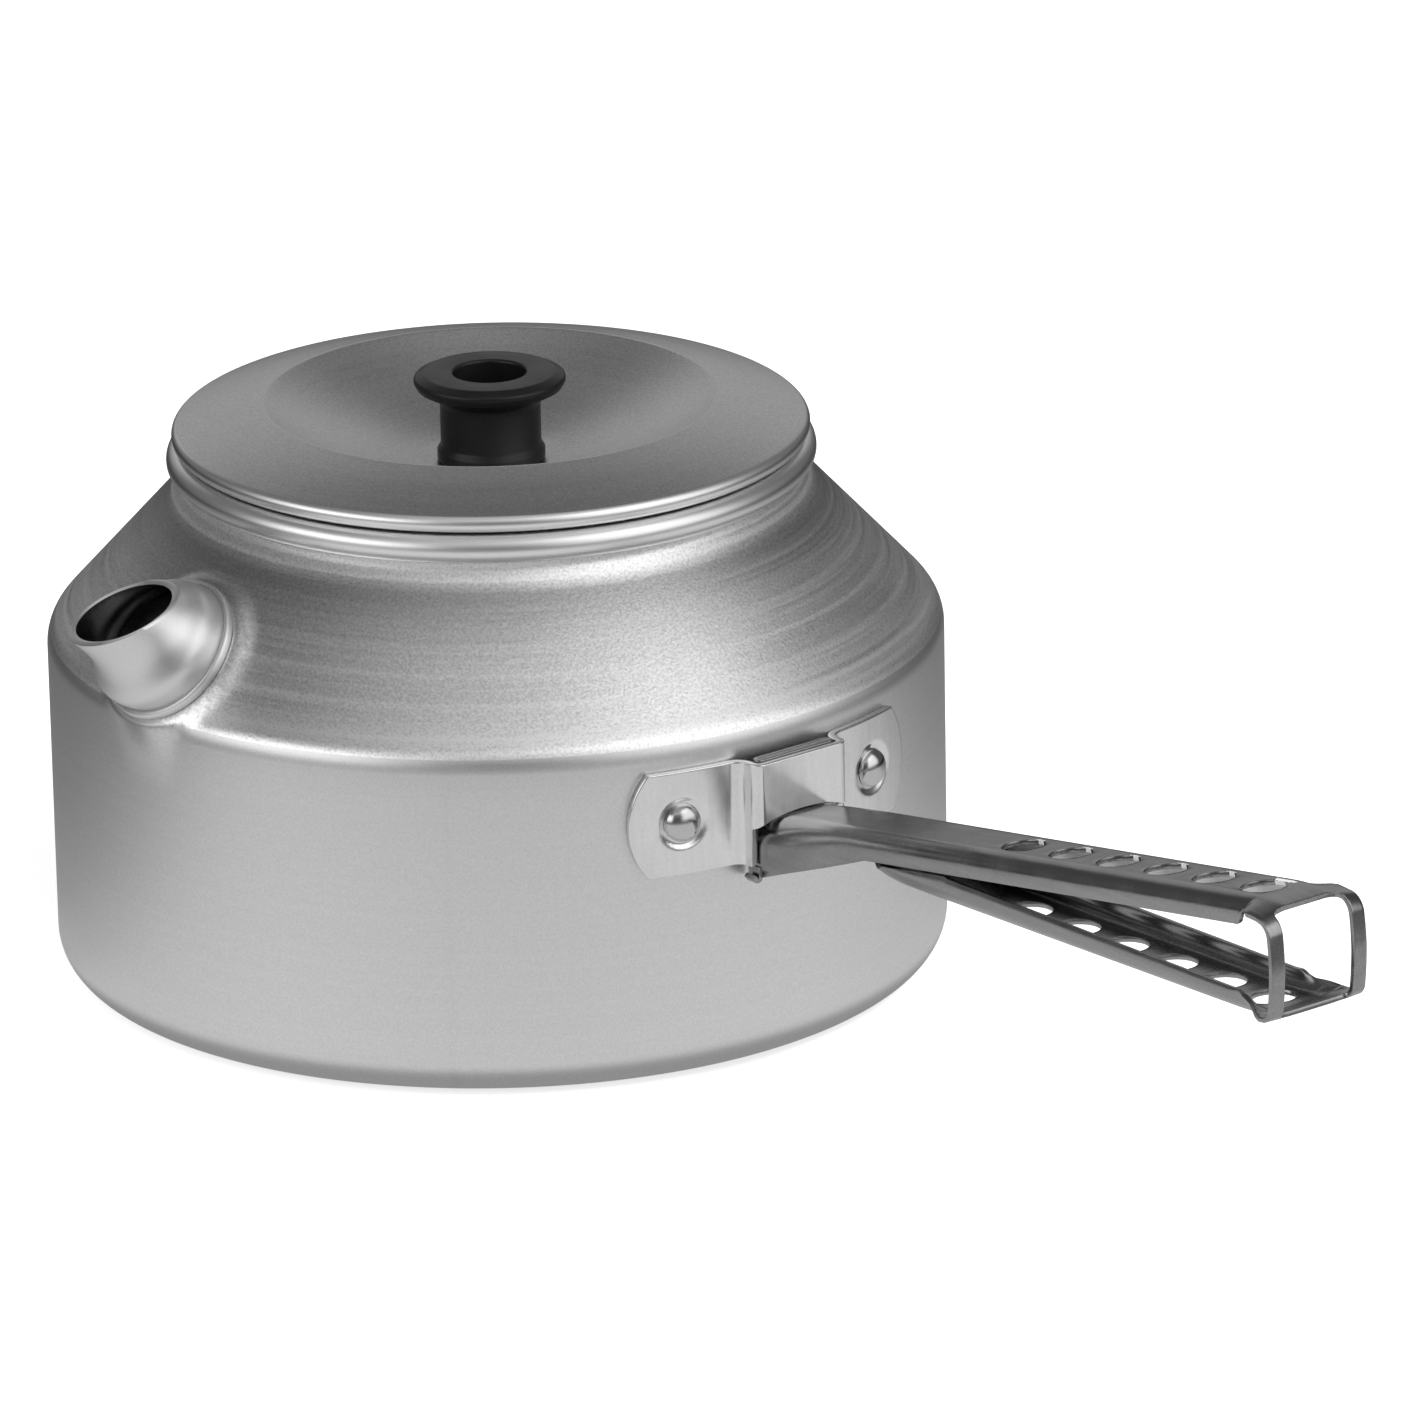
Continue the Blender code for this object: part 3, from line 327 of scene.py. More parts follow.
def sheetShell(name, vertices, faces, sheet, edge, towards, seams=()):
    # an open sheet given its thickness behind it, with its cut edges rounded; seams (x places) stay square
    arch = 0.29  # how far a round edge's middle stays inside its square corner, as a share of the radius
    raw = rawMesh(name, vertices, faces)
    work = bmesh.new()
    work.from_mesh(raw)
    bmesh.ops.delete(work, geom=[v for v in work.verts if not v.link_faces], context="VERTS")
    bmesh.ops.remove_doubles(work, verts=work.verts, dist=1e-6)
    bmesh.ops.recalc_face_normals(work, faces=work.faces)
    middle = sum((v.co for v in work.verts), Vector()) / len(work.verts)
    facing = 0
    for face in work.faces:
        away = face.calc_center_median() - middle if towards is None else towards
        facing += face.normal.dot(away) * face.calc_area()
    if facing < 0:
        bmesh.ops.reverse_faces(work, faces=work.faces)
    work.normal_update()
    work.verts.index_update()
    outer = [v.co.copy() for v in work.verts]
    normals = [v.normal.copy() for v in work.verts]
    inner = []
    for v in work.verts:
        agree = sum(v.normal.dot(face.normal) for face in v.link_faces) / len(v.link_faces)
        inner.append(v.co - v.normal * sheet / max(agree, 0.7))
    following, leading = {}, {}
    for side in work.edges:
        if len(side.link_loops) == 1:
            a, b = side.link_loops[0].vert.index, side.link_loops[0].link_loop_next.vert.index
            following[a], leading[b] = b, a
    count = len(outer)
    front = list(outer)
    walls, chains = [], {}
    for i, after in following.items():
        p, n = outer[i], normals[i]
        into, out = (p - outer[leading[i]]).normalized(), (outer[after] - p).normalized()
        inward = n.cross(into + out).normalized()
        square = any(abs(p.x - seam) < 0.02 * mm for seam in seams)
        size = 0.003 * mm if square else edge
        inward *= (0 if square else size) / max(inward.dot(n.cross(into).normalized()), 0.5)
        first = 2 * count + len(walls)
        walls += [
            p + inward * arch - n * size * arch, p - n * size, p - n * (sheet - size),
            p + inward * arch - n * (sheet - size * arch),
        ]
        chains[i] = [i, first, first + 1, first + 2, first + 3, count + i]
        front[i] = p + inward
        inner[i] = p - n * sheet + inward
    solid = [[v.index for v in face.verts] for face in work.faces]
    solid += [[count + v for v in reversed(face)] for face in solid]
    for a, b in following.items():
        for k in range(5):
            solid.append((chains[b][k], chains[a][k], chains[a][k + 1], chains[b][k + 1]))
    work.free()
    bpy.data.meshes.remove(raw)
    mesh = rawMesh(name, front + inner + walls, solid)
    mesh.shade_smooth()
    mesh.set_sharp_from_angle(angle=math.radians(60))
    return linked(name, mesh)


def place(piece, material, body, slot, *nodes):
    piece.data.materials.clear()
    piece.data.materials.append(material)
    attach(piece, body)
    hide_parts(*nodes)
    return piece


# Materials

def newMaterial(name, colour, metallic, roughness, **sockets):
    material = bpy.data.materials.new(name)
    material.use_nodes = True
    shader = material.node_tree.nodes["Principled BSDF"]
    sockets.update(Base_Color=(colour, colour, colour, 1), Metallic=metallic, Roughness=roughness)
    for socket, value in sockets.items():
        shader.inputs[socket.replace("_", " ")].default_value = value
    return material, material.node_tree, shader


def ranged(tree, value, low, high, fromLow=0.3, fromHigh=0.7, course="LINEAR"):
    node = addNode(
        tree, "ShaderNodeMapRange", {"interpolation_type": course}, Value=value, From_Min=fromLow,
        From_Max=fromHigh, To_Min=low, To_Max=high,
    )
    return node.outputs[0]


def noise(tree, vector, scale, detail, roughness=0.6):
    node = addNode(
        tree, "ShaderNodeTexNoise", Vector=vector, Scale=scale, Detail=detail, Roughness=roughness,
    )
    return node.outputs["Fac"]


def ramp(tree, value, stops, course="LINEAR"):
    # stops are (place from 0 to 1, grey level)
    node = addNode(tree, "ShaderNodeValToRGB")
    node.color_ramp.interpolation = course
    for i, (spot, level) in enumerate(stops):
        element = node.color_ramp.elements[i] if i < 2 else node.color_ramp.elements.new(spot)
        element.position = spot
        element.color = (level, level, level, 1)
    feed(tree, node.inputs[0], value)
    return node.outputs[0]


def greyColour(tree, value):
    return addNode(tree, "ShaderNodeCombineColor", Red=value, Green=value, Blue=value).outputs[0]


def dress(tree, shader, shade, gloss, height, strength=1.0, distance=0.001):
    # colour, roughness and bump of a material
    feed(tree, shader.inputs["Base Color"], greyColour(tree, shade))
    feed(tree, shader.inputs["Roughness"], gloss)
    bump = addNode(tree, "ShaderNodeBump", Strength=strength, Distance=distance, Height=height)
    feed(tree, shader.inputs["Normal"], bump.outputs["Normal"])


def spunMetal(name, colour, roughness, anisotropic, lines, grain, paintedShade=()):
    # aluminium turned on a lathe: rings of fine lines under a blasted grain; paintedShade darkens it by height,
    # painted shade in place of the cone's darker reflection towards the neck
    perMetre, lineShade, lineGloss, lineDepth = lines
    grainScale, grainShade, grainDepth = grain
    material, tree, shader = newMaterial(name, colour, 1.0, roughness, Anisotropic=anisotropic)
    coordinates = addNode(tree, "ShaderNodeTexCoord").outputs["Object"]
    x, y, height = separated(tree, coordinates)
    radius = calculated(tree, "SQRT", plus(tree, times(tree, x, x), times(tree, y, y)))
    # the lines are noise that changes quickly across them and slowly round the axis
    slow = times(tree, noise(tree, coordinates, 9.0, 1.0), 3.0)
    spread = combined(tree, times(tree, radius, perMetre), times(tree, height, perMetre), slow)
    ringNoise = noise(tree, spread, 1.0, 3.0, 0.55)
    fineNoise = noise(tree, coordinates, grainScale, 3.0, 0.7)
    shade = plus(
        tree, ranged(tree, ringNoise, -lineShade, lineShade),
        ranged(tree, fineNoise, colour - grainShade, colour + grainShade),
    )
    # painted shade: the colour is multiplied by a level that changes with height
    if paintedShade:
        low, high = 60, 100
        stops = [((spot - low) / (high - low), level) for spot, level in paintedShade]
        shade = times(tree, shade, ramp(tree, ranged(tree, height, 0.0, 1.0, low * mm, high * mm), stops))
    bump = plus(tree, times(tree, ringNoise, lineDepth), times(tree, fineNoise, grainDepth))
    dress(tree, shader, shade, ranged(tree, ringNoise, roughness - lineGloss, roughness + lineGloss), bump)
    tangent = addNode(tree, "ShaderNodeTangent", {"direction_type": "RADIAL", "axis": "Z"})
    feed(tree, shader.inputs["Tangent"], tangent.outputs[0])
    return material


def pressedMetal(name, colour, roughness, streaks, grainScale, grainShade, smearShade, depth, waves=0.0):
    # bright sheet from a press: faint drawing smears along it, a fine grain and soft blotches
    material, tree, shader = newMaterial(name, colour, 1.0, roughness)
    coordinates = addNode(tree, "ShaderNodeTexCoord").outputs["Object"]
    stretched = addNode(tree, "ShaderNodeMapping", Vector=coordinates, Scale=streaks).outputs[0]
    smear = noise(tree, stretched, 1.0, 3.0, 0.6)
    grain = noise(tree, coordinates, grainScale, 3.0, 0.7)
    blotch = noise(tree, coordinates, 120, 2.0, 0.5)
    shade = plus(
        tree, ranged(tree, smear, -smearShade, smearShade),
        ranged(tree, grain, colour - grainShade, colour + grainShade),
    )
    height = plus(tree, times(tree, smear, depth), times(tree, grain, depth * 0.2))
    height = plus(tree, height, times(tree, blotch, waves))
    dress(tree, shader, shade, ranged(tree, blotch, roughness - 0.03, roughness + 0.05), height)
    return material


def mouldedPlastic():
    material, tree, shader = newMaterial("mouldedPlastic", 0.007, 0.0, 0.36, Specular_IOR_Level=0.32)
    coordinates = addNode(tree, "ShaderNodeTexCoord").outputs["Object"]
    grain = noise(tree, coordinates, 1500, 3.0, 0.6)
    patches = noise(tree, coordinates, 90, 2.0, 0.5)
    shade, gloss = ranged(tree, patches, 0.005, 0.01), ranged(tree, patches, 0.3, 0.42)
    dress(tree, shader, shade, gloss, grain, 0.35, 0.00012)
    return material


# colour, roughness, anisotropy, lines (per metre, shade, gloss, depth), grain (scale, shade, depth)
# and the painted shade as (height in mm, level)
wallMetal = spunMetal("wallMetal", 0.80, 0.40, 0.25, (900, 0.012, 0.02, 0.004), (2300, 0.06, 0.012))
# painted shade: the shoulder darkens towards the neck and lifts again just under it, standing in for its
# reflections
shoulderPaintedShade = [
    (69, 1.0), (76, 0.93), (80, 0.84), (85, 0.7), (88, 0.57), (90.6, 0.5), (92.6, 0.95), (96, 1.0),
]
shoulderMetal = spunMetal(
    "shoulderMetal", 0.93, 0.33, 0.7, (900, 0.08, 0.045, 0.007), (1900, 0.22, 0.04), shoulderPaintedShade,
)
lidMetal = spunMetal("lidMetal", 0.74, 0.36, 0.4, (1600, 0.02, 0.03, 0.004), (1900, 0.12, 0.018))
spoutMetal = spunMetal("spoutMetal", 0.8, 0.42, 0.0, (700, 0.01, 0.02, 0.0), (2600, 0.03, 0.003))
rimMetal = spunMetal("rimMetal", 0.93, 0.36, 0.0, (1200, 0.02, 0.03, 0.001), (2600, 0.03, 0.002))
# painted shade: the spout's inside is the same aluminium, coloured dark for the shade within it
borePaintedShade = spunMetal("borePaintedShade", 0.12, 0.3, 0.0, (700, 0.01, 0.02, 0.001), (1800, 0.03, 0.002))
# colour, roughness, streaks, scale and shade of the grain, shade of the smears, bump's depth, waves
bracketMetal = pressedMetal("bracketMetal", 0.82, 0.21, (350, 700, 60), 1800, 0.03, 0.03, 0.006, 0.1)
rivetMetal = pressedMetal("rivetMetal", 0.6, 0.15, (300, 300, 300), 2200, 0.02, 0.01, 0.002)
handleMetal = pressedMetal("handleMetal", 0.34, 0.24, (14, 500, 500), 2400, 0.03, 0.03, 0.003, 0.1)
fastenerMetal = pressedMetal("fastenerMetal", 0.6, 0.28, (300, 300, 300), 1500, 0.03, 0.02, 0.003)
insideMetal = newMaterial("insideMetal", 0.8, 0.0, 0.6)[0]
knobPlastic = mouldedPlastic()
print("materials made")


# Kettle body

body = dict(
    millimetres(
        sheet=1.0, radius=84.0, baseRadius=83.7, baseCorner=8.0, shoulderHeight=65.9, shoulderRound=7.0,
        coneTop=94.6, coneTopRadius=57.6, neckRadius=56.2, steepRadius=61.2, steepRound=9, neckRound=1.2,
        curlRadius=2.75, curlHeight=98.4, holeRadius=11.6, holeDepth=16, insideReach=58, wallStep=6, coneStep=1.5,
    ),
    curlTurn=275, steps=320,
)


def makeKettleBody():
    slope = (body["coneTopRadius"] - body["radius"]) / (body["coneTop"] - body["shoulderHeight"])
    neckHeight = body["coneTop"] + (body["neckRadius"] - body["coneTopRadius"]) / slope
    steepHeight = body["coneTop"] + (body["steepRadius"] - body["coneTopRadius"]) / slope
    outer = roundedPath([
        (0, 0, 0),
        (body["baseRadius"], 0, body["baseCorner"]),
        (body["radius"], body["shoulderHeight"], body["shoulderRound"]),
        (body["steepRadius"], steepHeight, body["steepRound"]),
        (body["neckRadius"], neckHeight + 0.9 * mm, body["neckRound"]),
        (body["neckRadius"], body["curlHeight"], 0),
    ])
    wallRows = [point for point in outer if point.y < body["shoulderHeight"] - 1 * mm]
    outer = splitLong(wallRows, body["wallStep"])[:-1] + splitLong(outer[len(wallRows) - 1:], body["coneStep"])
    inner = offsetPath(outer, -body["sheet"])
    inner[0] = Vector((0, body["sheet"]))
    curl = (body["neckRadius"] - body["sheet"] + body["curlRadius"], body["curlHeight"])
    outline = inner[:-1]
    outline += arcPoints(curl, body["curlRadius"], 180, 180 - body["curlTurn"], 34)
    outline += arcPoints(curl, body["curlRadius"] - body["sheet"], 180 - body["curlTurn"], 180, 26)
    outline += outer[::-1][1:]
    shell = spun("kettleShell", outline, body["steps"], closed=False, sharpAngle=60)
    cutOut(
        shell, "spoutHole", bmesh.ops.create_cone, seatMatrix(), cap_ends=True, segments=96,
        radius1=body["holeRadius"], radius2=body["holeRadius"], depth=body["holeDepth"],
    )
    pressSeat(shell)
    shell.data.materials.clear()
    for metal in (wallMetal, shoulderMetal, rimMetal):
        shell.data.materials.append(metal)
    rimFoot = body["curlHeight"] - body["curlRadius"] - 0.6 * mm
    for face in shell.data.polygons:
        x, y, z = face.center
        outside = face.normal.x * x + face.normal.y * y > 0 or math.hypot(x, y) > body["insideReach"]
        onCone = z > body["shoulderHeight"] + 0.4 * mm and outside
        face.material_index = 2 if z > rimFoot else 1 if onCone else 0
    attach(shell, "kettle")
    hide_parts("kettle_body")
    return shell


# Spout

spout = dict(
    millimetres(
        height=77.4, stand=3.85, flangeRadius=14.2, flangeHeight=2.0, domeRadius=13.1, collarRadius=11.3,
        crimp=1.0, sheet=0.9, length=19.0, lipHalfWidth=8.7, lipHalfLength=11.7, lipWall=0.8,
        pressStart=14.8, pressEnd=17.5, searchReach=14,
    ),
    tilt=41, around=120, rings=44,
)


def skinRadius(height):
    lean = math.atan((body["radius"] - body["coneTopRadius"]) / (body["coneTop"] - body["shoulderHeight"]))
    run = body["shoulderRound"] * math.tan(lean / 2)
    wallEnd = body["shoulderHeight"] - run
    if height < wallEnd:
        return body["radius"]
    if height < body["shoulderHeight"] + run * math.cos(lean):
        rise = height - wallEnd
        return body["radius"] - body["shoulderRound"] + math.sqrt(body["shoulderRound"] ** 2 - rise ** 2)
    return body["radius"] - (height - body["shoulderHeight"]) * math.tan(lean)


def seatAxes():
    outward = Vector((0, -cosine(spout["tilt"]), sine(spout["tilt"])))
    down = Vector((0, -sine(spout["tilt"]), -cosine(spout["tilt"])))
    middle = Vector((0, -skinRadius(spout["height"]) - spout["stand"], spout["height"]))
    return outward, down, middle


def seatMatrix():
    outward, down, middle = seatAxes()
    across = Vector((1, 0, 0))
    turn = Matrix((across, down, outward)).transposed().to_4x4()
    return Matrix.Translation(middle) @ turn


def skinOver(across, along):
    # height of the shoulder over the crease plane, at a place given across the seat and down it
    outward, down, middle = seatAxes()
    point = middle + Vector((1, 0, 0)) * across + down * along
    low, high = -spout["searchReach"], spout["searchReach"]
    for _ in range(24):
        half = (low + high) / 2
        moved = point + outward * half
        if math.hypot(moved.x, moved.y) > skinRadius(moved.z):
            high = half
        else:
            low = half
    return low


def pressSeat(shell):
    # the shoulder is pressed flat under the spout's flange and runs out softly around it
    outward, down, middle = seatAxes()
    target = -spout["flangeHeight"] - 0.1 * mm
    for vertex in shell.data.vertices:
        away = vertex.co - middle
        across, along, height = away.x, away.dot(down), away.dot(outward)
        reach = math.hypot(across, along)
        if reach > spout["pressEnd"] or abs(height) > spout["searchReach"]:
            continue
        share = eased((spout["pressEnd"] - reach) / (spout["pressEnd"] - spout["pressStart"]))
        vertex.co += outward * max(0.0, target - skinOver(across, along)) * share


def spoutRing(upper, lower, halfWidth):
    outward, down, middle = seatAxes()
    top = middle + down * upper[0] + outward * upper[1]
    bottom = middle + down * lower[0] + outward * lower[1]
    ring = []
    for i in range(spout["around"]):
        a = math.tau * i / spout["around"]
        aside = Vector((1, 0, 0)) * halfWidth * math.cos(a)
        ring.append((top + bottom) / 2 + aside + (bottom - top) / 2 * math.sin(a))
    return ring


def flatRings(*sizes):
    # rings square to the spout's axis, from (radius, height) pairs
    return [spoutRing((-radius, height), (radius, height), radius) for radius, height in sizes]


def makeSpout():
    r = spout["domeRadius"]
    lipTop = spout["length"] - math.sqrt((2 * spout["lipHalfLength"]) ** 2 - (r - 2.7 * mm + 9.6 * mm) ** 2)
    upper = [(0, 0), (0.4, 0.35), (1.2, 0.6), (1.8, 0.72), (2.2, 0.83), (2.5, 0.9), (2.7, 1.0)]
    lower = [(0, 0), (-0.9, 0.18), (-0.2, 0.3), (1.6, 0.41), (2.9, 0.54), (3.5, 0.74), (3.5, 1.0)]
    width = [0, -0.02, 0.11, 0.39, 0.64, 0.84, 1.0]
    count = spout["rings"]
    upperPath, lowerPath, widths = [], [], []
    for i in range(count):
        t = 6 * i / (count - 1)
        inset, rise = [smoothCurve([(k, p[n]) for k, p in enumerate(upper)], t) for n in (0, 1)]
        upperPath.append(Vector((inset * mm - r, rise * lipTop)))
        inset, rise = [smoothCurve([(k, p[n]) for k, p in enumerate(lower)], t) for n in (0, 1)]
        lowerPath.append(Vector((r - inset * mm, rise * spout["length"])))
        widths.append(r + (spout["lipHalfWidth"] - r) * smoothCurve(list(enumerate(width)), t))
    for _ in range(30):
        for line in (upperPath, lowerPath, widths):
            line[1:-1] = [(line[i - 1] + line[i] * 2 + line[i + 1]) / 4 for i in range(1, count - 1)]
    upperInner = offsetPath(upperPath, spout["sheet"])
    lowerInner = offsetPath(lowerPath, -spout["sheet"])
    middle = (upperPath[-1] + lowerPath[-1]) / 2
    share = 1 - 2.2 * spout["lipWall"] / spout["lipHalfLength"]
    lipInner = [middle.lerp(side[-1], share) for side in (upperPath, lowerPath)]
    crown = Vector((-0.15 * mm, 0.25 * mm))
    lipCrown = [middle.lerp(side[-1], (1 + share) / 2) + crown for side in (upperPath, lowerPath)]
    edge = spout["flangeRadius"]
    foot = -spout["flangeHeight"]
    rings = flatRings(
        (edge - 0.25 * mm, foot), (edge, foot + 0.25 * mm), (edge, foot * 0.4), (edge - 0.1 * mm, foot * 0.22),
        (edge - 0.35 * mm, foot * 0.08), (edge - 0.6 * mm, foot * 0.05), (r + 0.25 * mm, foot * 0.1),
        (r + 0.08 * mm, foot * 0.25), (r - 0.05 * mm, foot * 0.12),
    )
    outsideRings = len(rings) + count
    rings += [spoutRing(*step) for step in zip(upperPath[1:], lowerPath[1:], widths[1:])]
    rings.append(spoutRing(*lipCrown, spout["lipHalfWidth"] - spout["lipWall"] / 2))
    rings.append(spoutRing(*lipInner, spout["lipHalfWidth"] - spout["lipWall"]))
    inside = list(zip(upperInner, lowerInner, widths))[2:-2]
    rings += [spoutRing(u, l, w - spout["sheet"]) for u, l, w in reversed(inside)]
    bore = spout["collarRadius"] - spout["sheet"]
    under = foot - body["sheet"] - 0.5 * mm
    end = under - spout["sheet"]
    collar = spout["collarRadius"]
    outer = collar + spout["crimp"]
    rings += flatRings(
        (bore + 0.7 * mm, 0.6 * mm), (bore, foot * 0.3), (bore, end + 0.3 * mm), (bore + 0.3 * mm, end),
        (outer - 0.2 * mm, end), (outer, end + 0.2 * mm), (outer, under), (collar, under), (collar, foot),
    )
    piece = ringLoft("spoutShell", rings, sharpAngle=45)
    place(piece, spoutMetal, "kettle", "satin_aluminium", "spout")
    piece.data.materials.append(borePaintedShade)
    # the faces inside the spout and its collar get the painted shade
    for face in piece.data.polygons:
        ring = face.vertices[0] // spout["around"]
        face.material_index = 1 if ring >= outsideRings else 0
    return piece


# Lid, knob and fastening

lid = dict(
    millimetres(
        sheet=0.9, radius=59.6, bottom=101.45, hem=3.4, skirt=6.0, crestRadius=42.3, crestRound=0.9,
        crestRise=4.2, dishDepth=12.2, floorRadius=12.0, bore=2.3, skirtRound=1.2, rimCrown=0.25, neckGap=0.3,
    ),
    steps=320,
)
crestTop = lid["bottom"] + lid["hem"] + lid["crestRise"]
dishTop = crestTop - lid["dishDepth"]


def makeLid():
    hem = lid["hem"] / 2
    fold = (lid["radius"] - hem, lid["bottom"] + hem)
    skirtRadius = body["neckRadius"] - body["sheet"] - lid["neckGap"]
    path = [Vector((lid["bore"], dishTop)), Vector((lid["floorRadius"] - 2 * mm, dishTop))]
    for i in range(1, 24):
        t = i / 24
        rise = (crestTop - dishTop) * t ** 1.35
        path.append(Vector((lid["floorRadius"] + (lid["crestRadius"] - lid["floorRadius"]) * t, dishTop + rise)))
    edgeTop = lid["bottom"] + lid["hem"]
    crest = roundedPath([
        (path[-1].x, path[-1].y, 0),
        (lid["crestRadius"], crestTop, lid["crestRound"]),
        (fold[0] + 0.6 * mm, edgeTop - 0.05 * mm, 0),
    ], 4)
    path += crest[1:-1]
    start = path[-1]
    for i in range(1, 8):
        t = i / 8
        crown = lid["rimCrown"] * math.sin(math.pi * t)
        end = Vector((fold[0] + 0.35 * mm, edgeTop))
        path.append(start.lerp(end, t) + Vector((0, crown)))
    path += [Vector(p) for p in arcPoints(fold, hem, 76, -90, 22)]
    path += roundedPath([
        (fold[0] - 0.1 * mm, lid["bottom"], 0),
        (skirtRadius, lid["bottom"], lid["skirtRound"]),
        (skirtRadius, lid["bottom"] - lid["skirt"], 0),
    ], 12)[1:]
    outline = path + offsetPath(path, lid["sheet"])[::-1]
    piece = spun("lidShell", outline, lid["steps"], sharpAngle=50)
    place(piece, lidMetal, "lid", "matte_aluminium", "lid")
    piece.data.materials.append(rimMetal)
    for face in piece.data.polygons:
        reach = math.hypot(face.center.x, face.center.y)
        face.material_index = 1 if reach > fold[0] + 0.75 * mm else 0
    return piece


knob = dict(
    millimetres(
        height=16.7, radius=14.2, stemRadius=9.4, footRadius=10.1, boreRadius=6.8, floor=4.2, rim=2.9, bore=2.3,
    ),
    bottom=dishTop + 0.3 * mm,
)


def makeKnob():
    top = knob["bottom"] + knob["height"]
    floor = knob["bottom"] + knob["floor"]
    rimFoot = top - knob["rim"]
    outline = [Vector((knob["boreRadius"], floor))]
    outline += roundedPath([
        (knob["boreRadius"], floor + 1 * mm, 0),
        (knob["boreRadius"], top, 0.6 * mm),
        (knob["radius"] - 1.9 * mm, top, 1.2 * mm),
        (knob["radius"], top - 0.9 * mm, 0.7 * mm),
        (knob["radius"], top - 1.8 * mm, 0.5 * mm),
        (knob["radius"] - 0.6 * mm, rimFoot, 0.5 * mm),
        (knob["stemRadius"], rimFoot - 2.2 * mm, 2.4 * mm),
        (knob["stemRadius"], knob["bottom"] + 3.0 * mm, 0.8 * mm),
        (knob["footRadius"], knob["bottom"] + 1.8 * mm, 0.4 * mm),
        (knob["footRadius"], knob["bottom"], 0.3 * mm),
        (knob["bore"], knob["bottom"], 0),
    ], 9)
    outline.append(Vector((knob["bore"], floor)))
    piece = spun("knobBody", splitLong(outline, 3 * mm), 160, sharpAngle=50)
    return place(piece, knobPlastic, "lid", "black_plastic", "lid_knob")


fastening = millimetres(
    gap=0.3, radius=2.0, headRadius=4.0, headHeight=2.6, domeRadius=4.3, domeDrop=2.4, slotWidth=1.1, slotDepth=1.4,
    tip=1.1, tipBevel=0.5, bore=2.3, washerRadius=6.0, washerHeight=1.0, washerEdge=0.2, nutHeight=3.2,
    nutHalfFlats=3.5, nutFaceRadius=3.4, nutBevelStart=3.6, nutBoreBevel=0.3,
)


def makeFastening():
    gap, bore = fastening["gap"], fastening["bore"]
    seat = knob["bottom"] + knob["floor"] + gap
    top = seat + fastening["headHeight"]
    washerTop = dishTop - lid["sheet"] - gap
    washerFoot = washerTop - fastening["washerHeight"]
    nutTop = washerFoot - gap
    foot = nutTop - fastening["nutHeight"]
    outline = [Vector((0, top))]
    for i in range(1, 9):
        turn = 62 * i / 8
        drop = fastening["domeDrop"] * (1 - cosine(turn))
        outline.append(Vector((fastening["domeRadius"] * sine(turn), top - drop)))
    outline += roundedPath([
        (fastening["headRadius"], top - 1.5 * mm, 0),
        (fastening["headRadius"], seat, 0.25 * mm),
        (fastening["radius"], seat, 0),
        (fastening["radius"], foot - 0.6 * mm, 0),
        (fastening["radius"] - fastening["tipBevel"], foot - fastening["tip"], 0),
        (0, foot - fastening["tip"], 0),
    ], 20)
    piece = spun("knobScrew", outline, 64, closed=False)
    size = Matrix.Diagonal((fastening["slotWidth"], fastening["headRadius"] * 1.25, fastening["slotDepth"] * 2, 1))
    for turn in (0, 90):
        matrix = Matrix.Translation((0, 0, top)) @ Matrix.Rotation(math.radians(turn), 4, "Z") @ size
        cutOut(piece, "crossCut", bmesh.ops.create_cube, matrix, size=1)
    place(piece, fastenerMetal, "lid", "plated_steel", "knob_screw")

    edge, radius = fastening["washerEdge"], fastening["washerRadius"]
    washer = roundedPath([
        (bore, washerTop, 0), (radius, washerTop, edge), (radius, washerFoot, edge), (bore, washerFoot, 0),
    ], 30)
    place(spun("knobWasher", washer, 64), fastenerMetal, "lid", "plated_steel", "knob_washer")

    bevel, face = fastening["nutBoreBevel"], fastening["nutFaceRadius"]
    rings = []
    for radius, height in (
        (bore + bevel, foot), (bore, foot + bevel), (bore, nutTop - bevel), (bore + bevel, nutTop),
        (face, nutTop), (None, nutTop), (None, foot), (face, foot),
    ):
        ring = []
        for i in range(72):
            a = math.tau * i / 72
            # the hexagon's corners are bevelled; a ring without a radius runs along its flats
            hexagon = fastening["nutHalfFlats"] / math.cos((a + math.pi / 6) % (math.pi / 3) - math.pi / 6)
            reach = hexagon if radius is None else radius
            drop = max(0, hexagon - fastening["nutBevelStart"]) * 0.5 if radius is None else 0
            rise = -drop if height == nutTop else drop
            ring.append(Vector((reach * math.cos(a), reach * math.sin(a), height + rise)))
        rings.append(ring)
    place(ringLoft("knobNut", rings, sharpAngle=30), fastenerMetal, "lid", "plated_steel", "knob_nut")


# Bracket and rivets

bracket = dict(
    millimetres(
        sheet=1.5, height=20.0, middle=51.4, seatGap=0.15, endRadius=15.0, pocketDepth=4.35, halfWidth=9.5,
        pocketBend=2.2, wingBend=2.4, archRise=6.3, archCrown=3.2, edge=0.2, dimpleRun=0.5,
    ),
    wingAngle=22.4, rows=48, wingSteps=34,
)
rivets = dict(
    millimetres(
        headRadius=3.65, headHeight=2.4, shankRadius=2.2, shankLength=4.2, tailRadius=3.3, tailHeight=1.2,
        dimpleRadius=4.65, dimpleDepth=0.5,
    ),
    angle=15.3,
)
wingRadius = body["radius"] + bracket["seatGap"] + bracket["sheet"]
pocketFront = wingRadius + bracket["pocketDepth"]
bracketFoot = bracket["middle"] - bracket["height"] / 2


def bracketPlan():
    side = bracket["halfWidth"] + bracket["sheet"]
    bendY = side + bracket["wingBend"]
    bendX = math.sqrt((wingRadius + bracket["wingBend"]) ** 2 - bendY ** 2)
    wingStart = math.degrees(math.atan2(bendY, bendX))
    r = bracket["pocketBend"]
    half = [(pocketFront, (side - r) * i / 8) for i in range(8)]
    half += arcPoints((pocketFront - r, side - r), r, 0, 90, 10)
    half += arcPoints((bendX, bendY), bracket["wingBend"], -90, -180 + wingStart, 8)
    return half, wingStart


